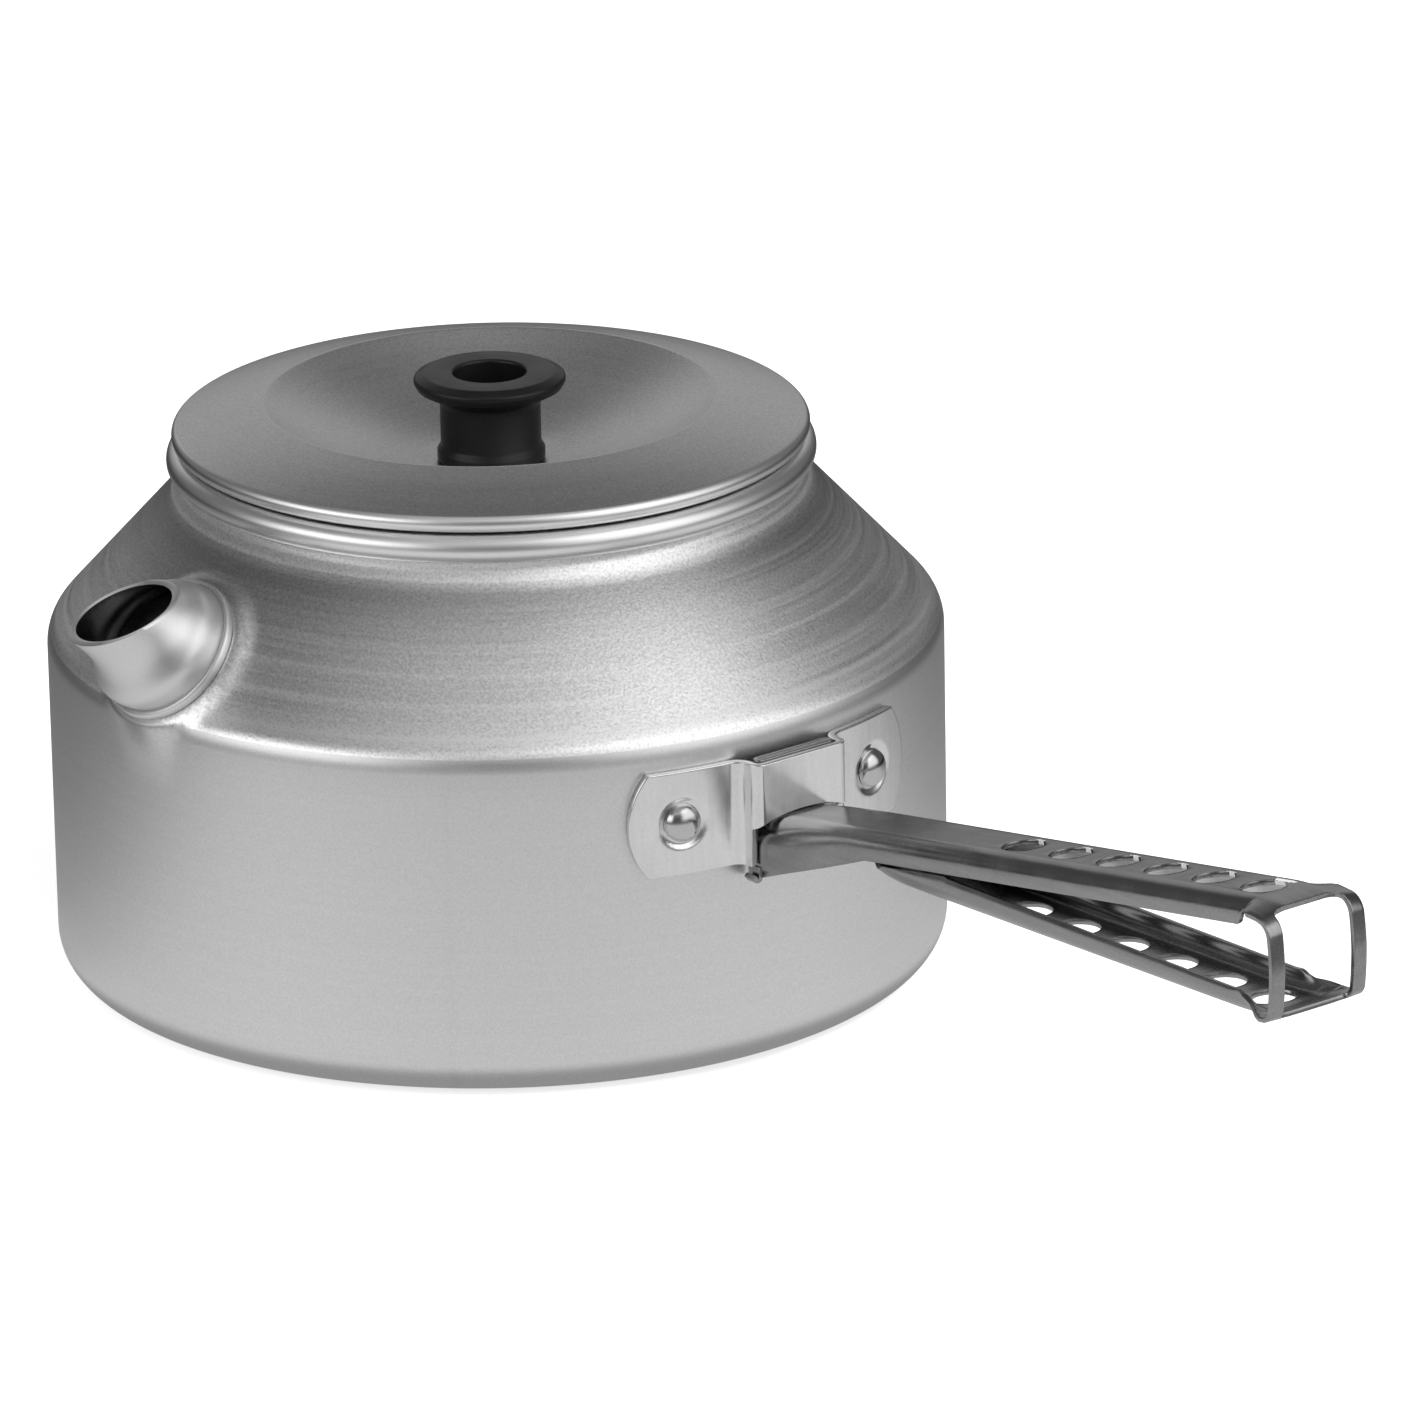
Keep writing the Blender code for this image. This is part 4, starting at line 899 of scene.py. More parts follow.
def makeBracket():
    plan, wingStart = bracketPlan()
    rows, wingSteps = bracket["rows"], bracket["wingSteps"]
    vertices = []
    half = bracket["height"] / 2
    archEdge = bracket["halfWidth"] + bracket["sheet"] + 0.6 * mm
    for row in range(rows + 1):
        fromMiddle = -half + 2 * half * row / rows
        end = bracket["endRadius"]
        cutBack = math.degrees((end - math.sqrt(end ** 2 - fromMiddle ** 2)) / wingRadius)
        line = []
        for x, y in plan:
            foot = bracketFoot
            if x > pocketFront - bracket["sheet"] - 0.4 * mm:
                foot += bracket["archRise"] + bracket["archCrown"] * math.sqrt(max(0, 1 - (y / archEdge) ** 2))
            line.append(Vector((x, y, foot + (bracketFoot + 2 * half - foot) * row / rows)))
        for i in range(1, wingSteps + 1):
            a = math.radians(wingStart + (bracket["wingAngle"] - cutBack - wingStart) * i / wingSteps)
            fromRivet = math.hypot((a - math.radians(rivets["angle"])) * wingRadius, fromMiddle)
            ring = (fromRivet - rivets["dimpleRadius"]) / bracket["dimpleRun"]
            radius = wingRadius - rivets["dimpleDepth"] * eased((1 - ring) / 2)
            line.append(Vector((radius * math.cos(a), radius * math.sin(a), bracket["middle"] + fromMiddle)))
        vertices += [Vector((p.x, -p.y, p.z)) for p in line[:0:-1]] + line
    faces = gridFaces(rows + 1, 2 * len(line) - 1)
    piece = sheetShell("bracketPressing", vertices, faces, bracket["sheet"], bracket["edge"], Vector((1, 0, 0)))
    return place(piece, bracketMetal, "kettle", "bright_aluminium", "handle_bracket")


def rivetTree():
    # Geometry Nodes: one turned rivet, set on a point at each rivet's place
    sizes = {
        "Head Radius": rivets["headRadius"], "Head Height": rivets["headHeight"],
        "Shank Radius": rivets["shankRadius"], "Shank Length": rivets["shankLength"],
        "Tail Radius": rivets["tailRadius"], "Tail Height": rivets["tailHeight"],
        "Seat Radius": wingRadius - rivets["dimpleDepth"] + 0.02 * mm, "Angle": math.radians(rivets["angle"]),
        "Height": bracket["middle"],
    }
    tree, given, result = newTree("rivetSet", {label: ("NodeSocketFloat", value) for label, value in sizes.items()})

    def moved(geometry, **sockets):
        return addNode(tree, "GeometryNodeTransform", Geometry=geometry, **sockets).outputs[0]

    dome = addNode(tree, "GeometryNodeMeshUVSphere", Segments=64, Rings=32, Radius=1.0)
    radius = given["Head Radius"]
    head = moved(dome.outputs["Mesh"], Scale=combined(tree, radius, radius, given["Head Height"]))
    # the part of the dome under the sheet's face is pressed flat
    x, y, z = separated(tree, addNode(tree, "GeometryNodeInputPosition").outputs[0])
    pressed = combined(tree, x, y, calculated(tree, "MAXIMUM", z, 0.0))
    head = addNode(tree, "GeometryNodeSetPosition", Geometry=head, Position=pressed).outputs[0]
    joined = addNode(tree, "GeometryNodeJoinGeometry", Geometry=head)
    for part, depth, drop in (("Shank", "Shank Length", -0.5), ("Tail", "Tail Height", -1.0)):
        radius = given[part + " Radius"]
        bar = addNode(tree, "GeometryNodeMeshCylinder", Vertices=48, Radius=radius, Depth=given[depth])
        foot = combined(tree, z=times(tree, given["Shank Length"], drop))
        feed(tree, joined.inputs[0], moved(bar.outputs["Mesh"], Translation=foot))
    lying = moved(joined.outputs[0], Rotation=(0, math.pi / 2, 0))
    line = addNode(tree, "GeometryNodeMeshLine", Count=2)
    index = addNode(tree, "GeometryNodeInputIndex").outputs[0]
    angle = times(tree, given["Angle"], calculated(tree, "SUBTRACT", times(tree, index, 2.0), 1.0))
    spots = addNode(
        tree, "GeometryNodeSetPosition", Geometry=line.outputs[0],
        Position=aroundAxis(tree, given["Seat Radius"], angle, given["Height"]),
    )
    pair = addNode(
        tree, "GeometryNodeInstanceOnPoints", Points=spots.outputs[0], Instance=lying,
        Rotation=combined(tree, z=angle),
    )
    return endTree(tree, pair.outputs[0], result, rivetMetal)


def makeRivets():
    piece = linked("rivetPair", bpy.data.meshes.new("rivetPair"))
    cleaned(grown(piece, rivetTree()), 50)
    place(piece, rivetMetal, "kettle", "bright_aluminium", "rivet_left", "rivet_right")


# Handle: one strip, folded back on itself

handle = dict(
    millimetres(
        sheet=1.0, halfWidth=8.0, bend=3.1, neckHalfWidth=9.2, neckBend=5.2, neckLength=31.8,
        upperFlange=5.2, upperFlangeEnd=218.9, upperEnd=228.6, upperEndDrop=1.2,
        lowerFlange=5.2, lowerTip=119.5, lowerFlangeEnd=217.5, lowerEnd=231.6, lowerEndRise=1.6,
        fulcrum=139.5, fulcrumGap=0.55, tongueHalfWidth=5.2, tongueGap=0.6, noseGap=0.5, noseBend=2.6,
        holeRadius=4.1, upperPitch=13.1, upperLast=217.8, lowerPitch=13.3, lowerLast=220.4,
        endHalfWidth=11.2, strapInner=8.15, strapRoot=6.9, edge=0.13, strapTopBend=4.5, strapFootBend=3.0,
        wallRun=18, wallDrop=1.3, tipRun=8.5, tipRise=0.9, step=0.85, fineStep=0.3, plateStep=0.6,
    ),
    holes=6, upperSlope=0.1465, lowerSlope=0.014, lowerTaper=0.011, lowerFold=98,
    strapTopLean=-83, strapFootLean=-97, sidePlateFoot=bracketFoot - 3.3 * mm,
    upperStart=bracket["middle"] - 1.45 * mm, lowerStart=bracket["middle"] - 4.6 * mm,
)
wall = body["radius"]
neckEnd = wall + handle["neckLength"]


def upperHeight(x):
    height = handle["upperStart"] + handle["upperSlope"] * (x - wall)
    nearWall = max(0, 1 - (x - wall) / handle["wallRun"])
    nearEnd = max(0, (x - handle["upperFlangeEnd"]) / (handle["upperEnd"] - handle["upperFlangeEnd"]))
    return height - handle["wallDrop"] * nearWall ** 3 - handle["upperEndDrop"] * nearEnd ** 2


def upperFlangeFoot(x):
    foot = upperHeight(neckEnd) - handle["upperFlange"]
    if x >= neckEnd:
        return foot + handle["upperSlope"] * (x - neckEnd)
    share = min(1, (neckEnd - x) / (handle["neckLength"] - 2 * mm))
    return foot + (handle["sidePlateFoot"] - foot) * share


def lowerHeight(x):
    height = handle["lowerStart"] + handle["lowerSlope"] * (x - handle["fulcrum"])
    nearTip = max(0, 1 - (x - handle["lowerTip"]) / handle["tipRun"])
    nearEnd = max(0, (x - handle["lowerFlangeEnd"]) / (handle["lowerEnd"] - handle["lowerFlangeEnd"]))
    return height + handle["tipRise"] * nearTip ** 2 + handle["lowerEndRise"] * nearEnd ** 2


def lowerFlange(x):
    if x < handle["fulcrum"]:
        return upperFlangeFoot(x) - handle["fulcrumGap"] - lowerHeight(x)
    return handle["lowerFlange"] - handle["lowerTaper"] * (x - handle["fulcrum"])


def station(x, z, travel, fold, blank, halfWidth=handle["halfWidth"], bend=handle["bend"], window=0):
    # travel is the way the strip runs, in degrees; its outer face looks to the left of that
    return dict(x=x, z=z, travel=travel, fold=fold, blank=blank, halfWidth=halfWidth, bend=bend, window=window)


flatShares = [0.96 * i / 6 for i in range(7)] + [1.0]
sideShares = [0.112, 0.224, 0.336, 0.448, 0.56, 0.67, 0.83, 1.0]
windowColumn = len(flatShares) + 1
acrossCount = 2 * (len(flatShares) + len(sideShares)) - 1
middleColumn = acrossCount // 2
holeLeft, holeRight = middleColumn - len(flatShares) + 2, middleColumn + len(flatShares) - 2


def stationHalf(s):
    # (across, inward) from the middle to the free edge
    flat = s["halfWidth"] - s["bend"]
    flatEdge = min(flat, s["blank"] * 0.72)
    fold = math.radians(s["fold"])
    spans = [flatEdge * share for share in flatShares]
    spans += [flatEdge + (s["blank"] - flatEdge) * share for share in sideShares]
    if s["window"]:
        inner = spans[windowColumn]
        for i in range(windowColumn, len(spans)):
            share = (spans[i] - inner) / (s["blank"] - inner)
            spans[i] = s["window"] + (s["blank"] - s["window"]) * share
    half = []
    for span in spans:
        along = max(0, span - flat)
        turned = min(along / s["bend"], fold)
        rest = along - turned * s["bend"]
        half.append((
            min(span, flat) + s["bend"] * math.sin(turned) + rest * math.cos(fold),
            -s["bend"] * (1 - math.cos(turned)) - rest * math.sin(fold),
        ))
    return half


def stationPoints(s):
    normal = Vector((-sine(s["travel"]), 0, cosine(s["travel"])))
    middle = Vector((s["x"], 0, s["z"]))
    half = stationHalf(s)
    line = [(-y, h) for y, h in half[:0:-1]] + half
    return [middle + Vector((0, y, 0)) + normal * h for y, h in line]


def holePatch(vertices, faces, first, last):
    # the flat between two rows gets a round hole, with rings of faces between it and the patch's border
    border = [(first, i) for i in range(holeLeft, holeRight)]
    border += [(row, holeRight) for row in range(first, last)]
    border += [(last, i) for i in range(holeRight, holeLeft, -1)]
    border += [(row, holeLeft) for row in range(last, first, -1)]
    loops = [[row * acrossCount + i for row, i in border]]
    ends = [vertices[row * acrossCount + middleColumn] for row in (first, last)]
    centre = (ends[0] + ends[1]) / 2
    along = (ends[1] - ends[0]).normalized()
    sideways = Vector((0, 1, 0))
    rim = []
    for v in loops[0]:
        away = vertices[v] - centre
        rim.append(centre + (along * away.dot(along) + sideways * away.y).normalized() * handle["holeRadius"])
    for share in (0.62, 0.3, 0.0):
        loops.append(list(range(len(vertices), len(vertices) + len(rim))))
        vertices += [point.lerp(vertices[v], share) for point, v in zip(rim, loops[0])]
    for wide, narrow in zip(loops, loops[1:]):
        for i in range(len(rim)):
            k = (i + 1) % len(rim)
            faces.append((wide[i], wide[k], narrow[k], narrow[i]))


def stripShell(name, stations, towards, seams, holes=()):
    vertices = [p for s in stations for p in stationPoints(s)]

    def leftOut(row, column):
        windowed = stations[row]["window"] > 0 and stations[row + 1]["window"] > 0
        if windowed and middleColumn - windowColumn <= column < middleColumn + windowColumn:
            return True
        return holeLeft <= column < holeRight and any(first <= row < last for first, last in holes)

    faces = gridFaces(len(stations), acrossCount, skip=leftOut)
    for first, last in holes:
        holePatch(vertices, faces, first, last)
    return sheetShell(name, vertices, faces, handle["sheet"], handle["edge"], towards, seams)


def rowPlaces(fixed, stepAt):
    # the fixed places, with even steps between them
    places = [fixed[0]]
    for a, b in zip(fixed, fixed[1:]):
        count = max(1, math.ceil(abs(b - a) / stepAt((a + b) / 2) - 1e-6))
        places += [a + (b - a) * k / count for k in range(1, count + 1)]
    return places


def fineBeyond(end):
    # shorter steps where the sides run out
    return lambda x: handle["fineStep"] if x > end else handle["step"]


def holesBetween(places, marks):
    rows = [min(range(len(places)), key=lambda i: abs(places[i] - mark)) for mark in marks]
    return [tuple(sorted(pair)) for pair in zip(rows, rows[1:])]


def slopeOf(heightOf, x):
    return math.degrees(math.atan((heightOf(x + 0.05 * mm) - heightOf(x - 0.05 * mm)) / (0.1 * mm)))


# where the sides run out into the end plates: past their end in mm, fold, half of the blank in mm
upperNotch = [
    (0, 90, 12.2), (0.7, 90, 11.5), (1.4, 88, 10.2), (2.2, 75, 9.0), (3.1, 45, 8.6), (4.1, 20, 9.2),
    (5.2, 12, 10.3), (6.4, 10, 11.1),
]
lowerNotch = [
    (0, 98, 11.8), (2.0, 93, 11.1), (4.0, 76, 10.2), (6.0, 50, 9.7), (8.0, 26, 10.0), (10.0, 9, 10.7),
    (11.5, 3, 11.2),
]


def notchAt(notch, past, blank):
    fold = smoothCurve([(place * mm, fold) for place, fold, _ in notch], past)
    width = smoothCurve([(0, blank)] + [(place * mm, width * mm) for place, _, width in notch[1:]], past)
    return fold, width


upperSeam = handle["upperFlangeEnd"] + 5.45 * mm
lowerSeam = handle["lowerLast"] + handle["lowerPitch"] / 2 + 0.1 * mm


def upperStation(x):
    spread = eased((handle["neckLength"] - 4 * mm - (x - wall)) / handle["wallRun"])
    halfWidth = handle["halfWidth"] + (handle["neckHalfWidth"] - handle["halfWidth"]) * spread
    bend = handle["bend"] + (handle["neckBend"] - handle["bend"]) * spread
    blank = halfWidth + bend * (math.pi / 2 - 2) + upperHeight(x) - upperFlangeFoot(x)
    fold = 90
    past = x - handle["upperFlangeEnd"]
    if past > 0:
        fold, blank = notchAt(upperNotch, past, blank)
    return station(x, upperHeight(x), slopeOf(upperHeight, x) * (1 - spread), fold, blank, halfWidth, bend)


def upperStations():
    pitch = handle["upperPitch"]
    marks = [handle["upperLast"] + pitch * (i - handle["holes"] + 0.5) for i in range(handle["holes"] + 1)]
    fixed = [wall + 0.7 * mm, wall + 32 * mm] + marks[:-1]
    fixed += [handle["upperFlangeEnd"] - 0.3 * mm, upperSeam]
    places = rowPlaces(fixed, fineBeyond(handle["upperFlangeEnd"]))
    return [upperStation(x) for x in places], holesBetween(places, marks)


def lowerStation(x):
    flat = handle["halfWidth"] - handle["bend"]
    fold = math.radians(handle["lowerFold"])
    full = handle["bend"] * (1 - math.cos(fold))
    high = lowerFlange(x)
    if high < full:
        blank = flat + handle["bend"] * math.acos(1 - high / handle["bend"])
    else:
        blank = flat + handle["bend"] * fold + (high - full) / math.sin(fold)
    angle = handle["lowerFold"]
    past = x - handle["lowerFlangeEnd"]
    if past > 0:
        angle, blank = notchAt(lowerNotch, past, blank)
    return station(x, lowerHeight(x), slopeOf(lowerHeight, x) - 180, angle, blank)


def tongueHeight(x):
    return upperHeight(x) - 2 * handle["sheet"] - handle["tongueGap"]


def lowerStations():
    pitch = handle["lowerPitch"]
    marks = [handle["lowerLast"] + pitch * (0.5 - i) for i in range(handle["holes"] + 1)]
    tipX = handle["lowerTip"] + 2 * mm
    fixed = [lowerSeam, marks[0], handle["lowerFlangeEnd"] - 0.3 * mm] + marks[1:] + [tipX + 10 * mm, tipX]
    places = rowPlaces(fixed, fineBeyond(handle["lowerFlangeEnd"]))
    stations = [lowerStation(x) for x in places]
    tongueStart, tongueFront = neckEnd - 4.3 * mm, neckEnd - 7.5 * mm
    top = tongueHeight(tongueStart)
    fall = top - lowerHeight(handle["lowerTip"])
    lean = math.degrees(math.atan(handle["upperSlope"]))
    # x, height, lean, fold and half of the blank, from the tip's shoulder down to the tongue
    steps = [
        (tipX, lowerHeight(tipX), 2, 98, stations[-1]["blank"]),
        (handle["lowerTip"] + 0.5 * mm, lowerHeight(handle["lowerTip"]), -8, 88, 7.9 * mm),
        (neckEnd + 2.2 * mm, top - fall * 0.9, -25, 45, 6.4 * mm),
        (neckEnd + 0.4 * mm, top - fall * 0.62, -42, 12, 5.5 * mm),
        (neckEnd - 1.6 * mm, top - fall * 0.24, -38, 2, handle["tongueHalfWidth"]),
        (tongueStart, top, -8, 2, handle["tongueHalfWidth"]),
        (tongueFront, tongueHeight(tongueFront), lean, 2, handle["tongueHalfWidth"]),
    ]
    columns = [list(enumerate(column)) for column in zip(*steps)]
    for k in range(1, 6 * (len(steps) - 1) + 1):
        x, z, turn, fold, blank = [smoothCurve(column, k / 6) for column in columns]
        stations.append(station(x, z, turn - 180, fold, blank))
    nose = wall + handle["noseGap"] + handle["sheet"]
    runEnd = nose + handle["noseBend"] * (1 - sine(lean))
    for x in rowPlaces([tongueFront, runEnd], lambda x: 2 * mm)[1:]:
        stations.append(station(x, tongueHeight(x), lean - 180, 2, handle["tongueHalfWidth"]))
    bendHeight = tongueHeight(runEnd) - handle["noseBend"] * cosine(lean)
    for i in range(1, 9):
        turn = lean + (90 - lean) * i / 8
        x = nose + handle["noseBend"] * (1 + cosine(turn + 90))
        z = bendHeight + handle["noseBend"] * sine(turn + 90)
        stations.append(station(x, z, turn - 180, 2, handle["tongueHalfWidth"]))
    for z in rowPlaces([bendHeight, bracketFoot], lambda z: 1 * mm)[1:]:
        stations.append(station(nose, z, -90, 2, handle["tongueHalfWidth"]))
    return stations, holesBetween(places, marks)


def arcRun(x, z, start, end, radius, steps):
    # places along an arc whose direction of travel turns from start to end
    run = []
    for i in range(1, steps + 1):
        middle = start + (end - start) * (i - 0.5) / steps
        length = radius * math.radians(abs(end - start)) / steps
        x += cosine(middle) * length
        z += sine(middle) * length
        run.append((x, z, start + (end - start) * i / steps))
    return run


def loopStations():
    # upper end plate, bend, straps, bend and lower end plate, as one run
    plateEnd = handle["upperEnd"]
    stations = [upperStation(x) for x in rowPlaces([upperSeam, plateEnd], lambda x: handle["plateStep"])]
    top = stations[-1]
    path = arcRun(top["x"], top["z"], top["travel"], handle["strapTopLean"], handle["strapTopBend"], 18)
    lowX = handle["lowerEnd"] - 1.4 * mm
    lowTravel = slopeOf(lowerHeight, lowX)
    back = arcRun(lowX, lowerHeight(lowX), lowTravel, 180 + handle["strapFootLean"], handle["strapFootBend"], 12)
    back = [(lowX, lowerHeight(lowX), lowTravel)] + back
    back = [(x, z, turn - 180) for x, z, turn in back[::-1]]
    start, end = path[-1], back[0]
    span = math.hypot(end[0] - start[0], end[1] - start[1])
    for i in range(1, 16):
        t = i / 16
        weights = (2 * t ** 3 - 3 * t ** 2 + 1, t ** 3 - 2 * t ** 2 + t, 3 * t ** 2 - 2 * t ** 3, t ** 3 - t ** 2)
        across = (start[0], cosine(start[2]) * span, end[0], cosine(end[2]) * span)
        up = (start[1], sine(start[2]) * span, end[1], sine(end[2]) * span)
        x, z = [sum(w * v for w, v in zip(weights, values)) for values in (across, up)]
        path.append((x, z, start[2] + (end[2] - start[2]) * t))
    path += back
    for i, (x, z, turn) in enumerate(path):
        fromEnd = min(1, min(i - 1, len(path) - 2 - i) / 5)
        window = 0
        if fromEnd >= 0:
            opened = math.sqrt(1 - (1 - fromEnd) ** 2)
            window = handle["strapRoot"] + (handle["strapInner"] - handle["strapRoot"]) * opened
        fold = 10 - 8 * min(1, i / 24)
        stations.append(station(x, z, turn, fold, handle["endHalfWidth"], window=window))
    stations += [lowerStation(x) for x in rowPlaces([lowX, lowerSeam], lambda x: handle["plateStep"])[1:]]
    return stations


def makeHandle():
    stations, holes = upperStations()
    piece = stripShell("upperLimb", stations, Vector((0, 0, 1)), [upperSeam], holes)
    place(piece, handleMetal, "handle", "plated_steel", "handle_upper_limb")
    piece.data.materials.append(insideMetal)
    for face in piece.data.polygons:
        # the far side's inner face, dull, catches the light that falls in through the holes
        if face.center.y > handle["halfWidth"] / 2 and face.normal.y < -0.15 and face.center.x > handle["fulcrum"]:
            face.material_index = 1
    piece = stripShell("endLoop", loopStations(), Vector((1, 0, 0)), [upperSeam, lowerSeam])
    piece.data.materials.append(handleMetal)
    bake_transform(piece)
    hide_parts("handle_strap_near", "handle_strap_far")
    stations, holes = lowerStations()
    piece = stripShell("lowerLimb", stations, Vector((0, 0, -1)), [lowerSeam], holes)
    place(piece, handleMetal, "lever", "plated_steel", "handle_lower_limb")
    makePlug()


plug = millimetres(
    wallGap=1.9, frontGap=0.3, sideGap=0.1, bend=1.1, rise=0.25, edge=0.2, footStart=1.8, footLength=2.6,
    footEdge=0.12,
)


def makePlug():
    # the flattened tube in the bracket's pocket, and the two feet of the side plates, flared under the bracket
    back = wall + plug["wallGap"]
    front = pocketFront - bracket["sheet"] - plug["frontGap"]
    half = handle["neckHalfWidth"] - plug["sideGap"]
    r = plug["bend"]
    corners = [(front - r, half - r), (back + r, half - r), (back + r, r - half), (front - r, r - half)]
    outline = []
    for quarter, corner in enumerate(corners):
        outline += arcPoints(corner, r, 90 * quarter, 90 * quarter + 90, 10)
    low = upperHeight(front) - handle["sheet"] + 0.1 * mm
    top = bracket["middle"] + bracket["height"] / 2 + plug["rise"]
    heights = [low + (top - low) * i / 10 for i in range(11)]
    vertices = [Vector((x, y, z)) for z in heights for x, y in outline]
    faces = gridFaces(len(heights), len(outline), closedAcross=True)
    pieces = [sheetShell("handlePlug", vertices, faces, handle["sheet"], plug["edge"], None)]
    inside = handle["neckHalfWidth"] - handle["sheet"]
    foot = handle["sidePlateFoot"]
    flare = roundedPath([
        (inside + 0.45 * mm, foot + 3 * mm, 0),
        (inside + 0.45 * mm, foot, 1.1 * mm),
        (inside + 2.0 * mm, foot, 0.8 * mm),
        (handle["neckHalfWidth"] + 1.9 * mm, foot + 1.1 * mm, 0),
    ], 15)
    rows = [wall + plug["footStart"] + plug["footLength"] * i / 4 for i in range(5)]
    for side, name in ((-1, "footNear"), (1, "footFar")):
        vertices = [Vector((x, side * p.x, p.y)) for x in rows for p in flare]
        faces = gridFaces(len(rows), len(flare))
        sheet = 0.95 * handle["sheet"]
        pieces.append(sheetShell(name, vertices, faces, sheet, plug["footEdge"], Vector((0, 0, -1))))
    for piece in pieces:
        piece.data.materials.append(handleMetal)
        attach(piece, "handle")


makeKettleBody()
makeSpout()
print("body and spout made")
makeLid()
makeKnob()
makeFastening()
print("lid made")
makeBracket()
makeRivets()
print("bracket made")
makeHandle()
print("handle made")


# Studio

studio = {
    "azimuth": 51.0, "elevation": 18.99, "roll": -1.19, "distance": 2.993, "aimAcross": 39.13 * mm,
    "aimHeight": 46.88 * mm, "lens": 406.47, "room": 0.11,
    # a glow overhead: azimuth, elevation, full inside and gone outside of these angles, strength
    "glow": (20, 68, 5, 50, 0.35),
    # soft boxes: azimuth, full inside and gone outside of these angles, lowest, highest, edge, strength
    "boxes": [
        (60, 18, 43, 5, 60, 10, 1.15), (-56, 15, 38, 6, 36, 9, 1.6),
        (184, 20, 37, 6, 36, 6, 0.38), (0, 30, 55, 42, 50, 5, 0.3),
    ],
    # lamps: azimuth, elevation, size, power
    "lamps": {"keyLamp": (60, 55, 1.0, 22), "fillLamp": (-60, 40, 1.2, 9)},
    "lampDistance": 1.8, "lampAim": (40 * mm, 0, 50 * mm),
    # the floor in the metal, which is painted light: how far its depth lines turn aside, where its levels start and
    # end, the levels, where its painted shadow round the kettle's foot and its painted shade far away start and
    # end, and how bright it is to the camera
    "floorTurns": (-0.58, 0.25), "floorDepth": (-0.05, 0.45), "floorGlow": 0.62,
    "floorLevels": [(0.0, 0.7), (0.14, 0.65), (0.22, 0.51), (0.31, 0.34), (0.45, 0.22), (0.7, 0.15), (1.0, 0.06)],
    "floorContactShadow": (84 * mm, 90 * mm), "floorFarShade": (340 * mm, 480 * mm),
}


def makeCamera():
    turn = Matrix.Rotation(math.radians(studio["azimuth"]), 3, "Z")
    pitch, roll = studio["elevation"], -studio["roll"]
    back = Vector((0, -cosine(pitch), sine(pitch)))
    right = Vector((1, 0, 0))
    up = Vector((0, sine(pitch), cosine(pitch)))
    rolledRight = right * cosine(roll) - up * sine(roll)
    rolledUp = right * sine(roll) + up * cosine(roll)
    spot = Vector((studio["aimAcross"], 0, studio["aimHeight"])) + back * studio["distance"]
    axes = Matrix((turn @ rolledRight, turn @ rolledUp, turn @ back)).transposed().to_4x4()
    camera = bpy.data.cameras.new("camera")
    camera.lens = studio["lens"]
    camera.sensor_width = 36
    camera.clip_end = 20
    holder = linked("camera", camera)
    holder.matrix_world = Matrix.Translation(turn @ spot) @ axes
    bpy.context.scene.camera = holder


def aimed(azimuth, elevation):
    # azimuth counts from the camera's side, towards its right
    turn = studio["azimuth"] + azimuth
    return Vector((sine(turn) * cosine(elevation), -cosine(turn) * cosine(elevation), sine(elevation)))


def makeFloor():
    # the metal sees the floor as painted light: bright in front and dim behind on the left, where the studio ends,
    # with a painted shadow round the kettle's foot and painted shade far away
    mesh = rawMesh("floor", [(-6, -6, 0), (6, -6, 0), (-6, 6, 0), (6, 6, 0)], [(0, 1, 3, 2)])
    floor = linked("floor", mesh)
    material, tree, shader = newMaterial("paleFloor", 0.8, 0.0, 0.9)
    path = addNode(tree, "ShaderNodeLightPath").outputs
    feed(tree, shader.inputs["Emission Strength"], times(tree, path["Is Camera Ray"], studio["floorGlow"]))
    shader.inputs["Emission Color"].default_value = (1, 1, 1, 1)
    spot = addNode(tree, "ShaderNodeTexCoord").outputs["Object"]
    across, away = aimed(90, 0), aimed(180, 0)
    depths = [vectorMath(tree, "DOT_PRODUCT", spot, away + across * turn) for turn in studio["floorTurns"]]
    depth = ranged(tree, calculated(tree, "MAXIMUM", *depths), 0.0, 1.0, *studio["floorDepth"])
    level = ramp(tree, depth, studio["floorLevels"], "EASE")
    reach = vectorMath(tree, "LENGTH", spot)
    # painted shadow: in the metal the floor is half as bright under the kettle, full from just past its wall
    contactShadow = ranged(tree, reach, 0.0, 0.5, *studio["floorContactShadow"], "SMOOTHSTEP")
    # painted shade: in the metal the floor dims far away from the kettle
    farShade = ranged(tree, reach, 0.0, -0.7, *studio["floorFarShade"], "SMOOTHSTEP")
    spread = plus(tree, plus(tree, contactShadow, 0.5), farShade)
    glow = addNode(tree, "ShaderNodeEmission", Color=greyColour(tree, times(tree, level, spread)))
    mix = addNode(tree, "ShaderNodeMixShader")
    for socket, value in zip(mix.inputs, (path["Is Glossy Ray"], shader.outputs[0], glow.outputs[0])):
        feed(tree, socket, value)
    feed(tree, tree.nodes["Material Output"].inputs["Surface"], mix.outputs[0])
    mesh.materials.append(material)
    floor.location.z = -0.0002


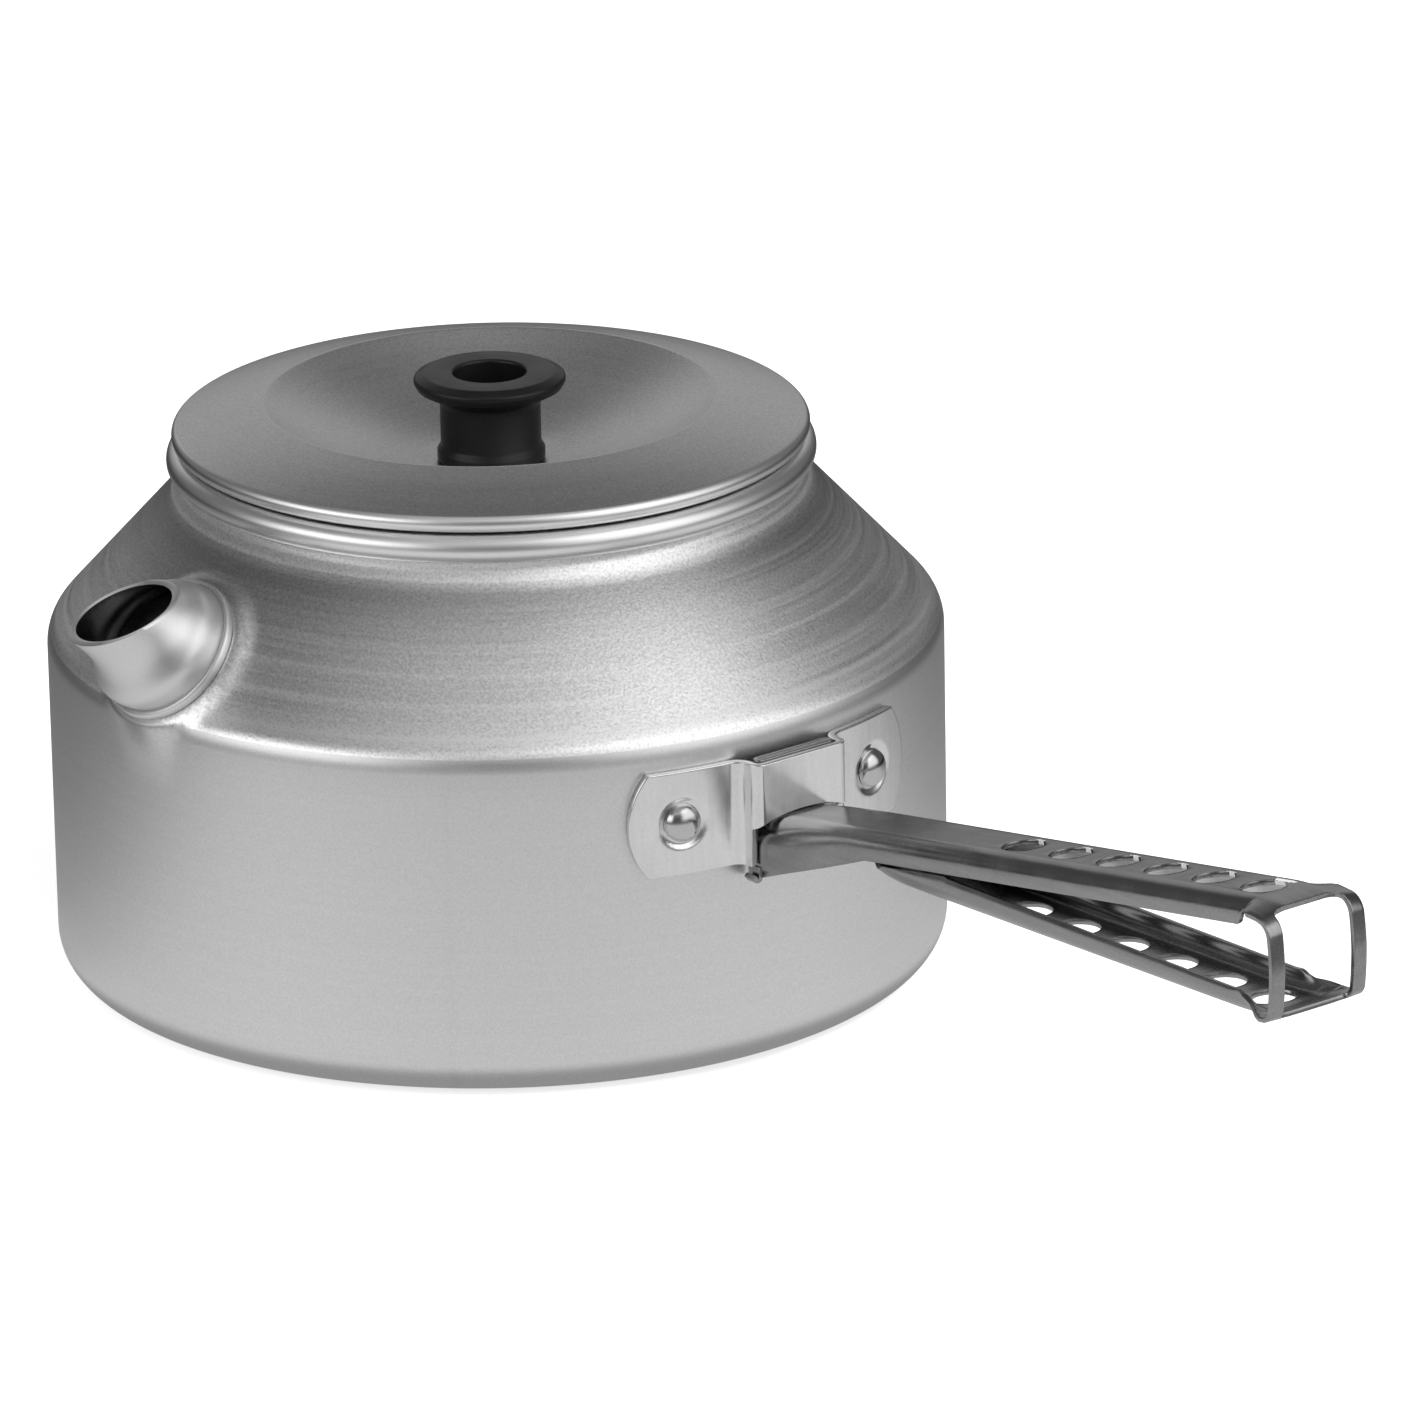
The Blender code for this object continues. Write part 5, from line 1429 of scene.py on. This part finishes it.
def makeWorld():
    # a dim room with a glow overhead and four soft boxes, white where the camera looks past everything
    world = bpy.data.worlds.new("studioWorld")
    bpy.context.scene.world = world
    world.use_nodes = True
    tree = world.node_tree
    direction = addNode(tree, "ShaderNodeTexCoord").outputs["Generated"]
    level = vectorMath(tree, "NORMALIZE", vectorMath(tree, "MULTIPLY", direction, (1, 1, 0)))
    height = vectorMath(tree, "DOT_PRODUCT", direction, (0, 0, 1))

    def rising(value, start, end, strength=1):
        return ranged(tree, value, 0.0, strength, start, end, "SMOOTHSTEP")

    azimuth, elevation, inner, outer, strength = studio["glow"]
    agree = vectorMath(tree, "DOT_PRODUCT", direction, aimed(azimuth, elevation))
    total = plus(tree, rising(agree, cosine(outer), cosine(inner), strength), studio["room"])
    for azimuth, inner, outer, low, high, soft, strength in studio["boxes"]:
        agree = vectorMath(tree, "DOT_PRODUCT", level, aimed(azimuth, 0))
        across = rising(agree, cosine(outer), cosine(inner), strength)
        above = rising(height, sine(low - soft), sine(low + soft))
        below = rising(height, sine(high + soft), sine(high - soft))
        total = plus(tree, times(tree, across, times(tree, above, below)), total)
    white = addNode(tree, "ShaderNodeMix", {"data_type": "RGBA"})
    feed(tree, white.inputs["Factor"], addNode(tree, "ShaderNodeLightPath").outputs["Is Camera Ray"])
    feed(tree, white.inputs[6], greyColour(tree, total))
    feed(tree, white.inputs[7], (1, 1, 1, 1))
    feed(tree, tree.nodes["Background"].inputs["Color"], white.outputs[2])


def addLamp(name, azimuth, elevation, size, power):
    lamp = bpy.data.lights.new(name, "AREA")
    lamp.shape = "RECTANGLE"
    lamp.size = lamp.size_y = size
    lamp.energy = power
    holder = linked(name, lamp)
    holder.location = Vector(studio["lampAim"]) + aimed(azimuth, elevation) * studio["lampDistance"]
    holder.rotation_mode = "QUATERNION"
    holder.rotation_quaternion = (-aimed(azimuth, elevation)).to_track_quat("-Z", "Y")
    holder.visible_glossy = False


makeCamera()
makeFloor()
makeWorld()
for name, lamp in studio["lamps"].items():
    addLamp(name, *lamp)
bpy.context.scene.view_settings.view_transform = "Standard"
print("studio made")
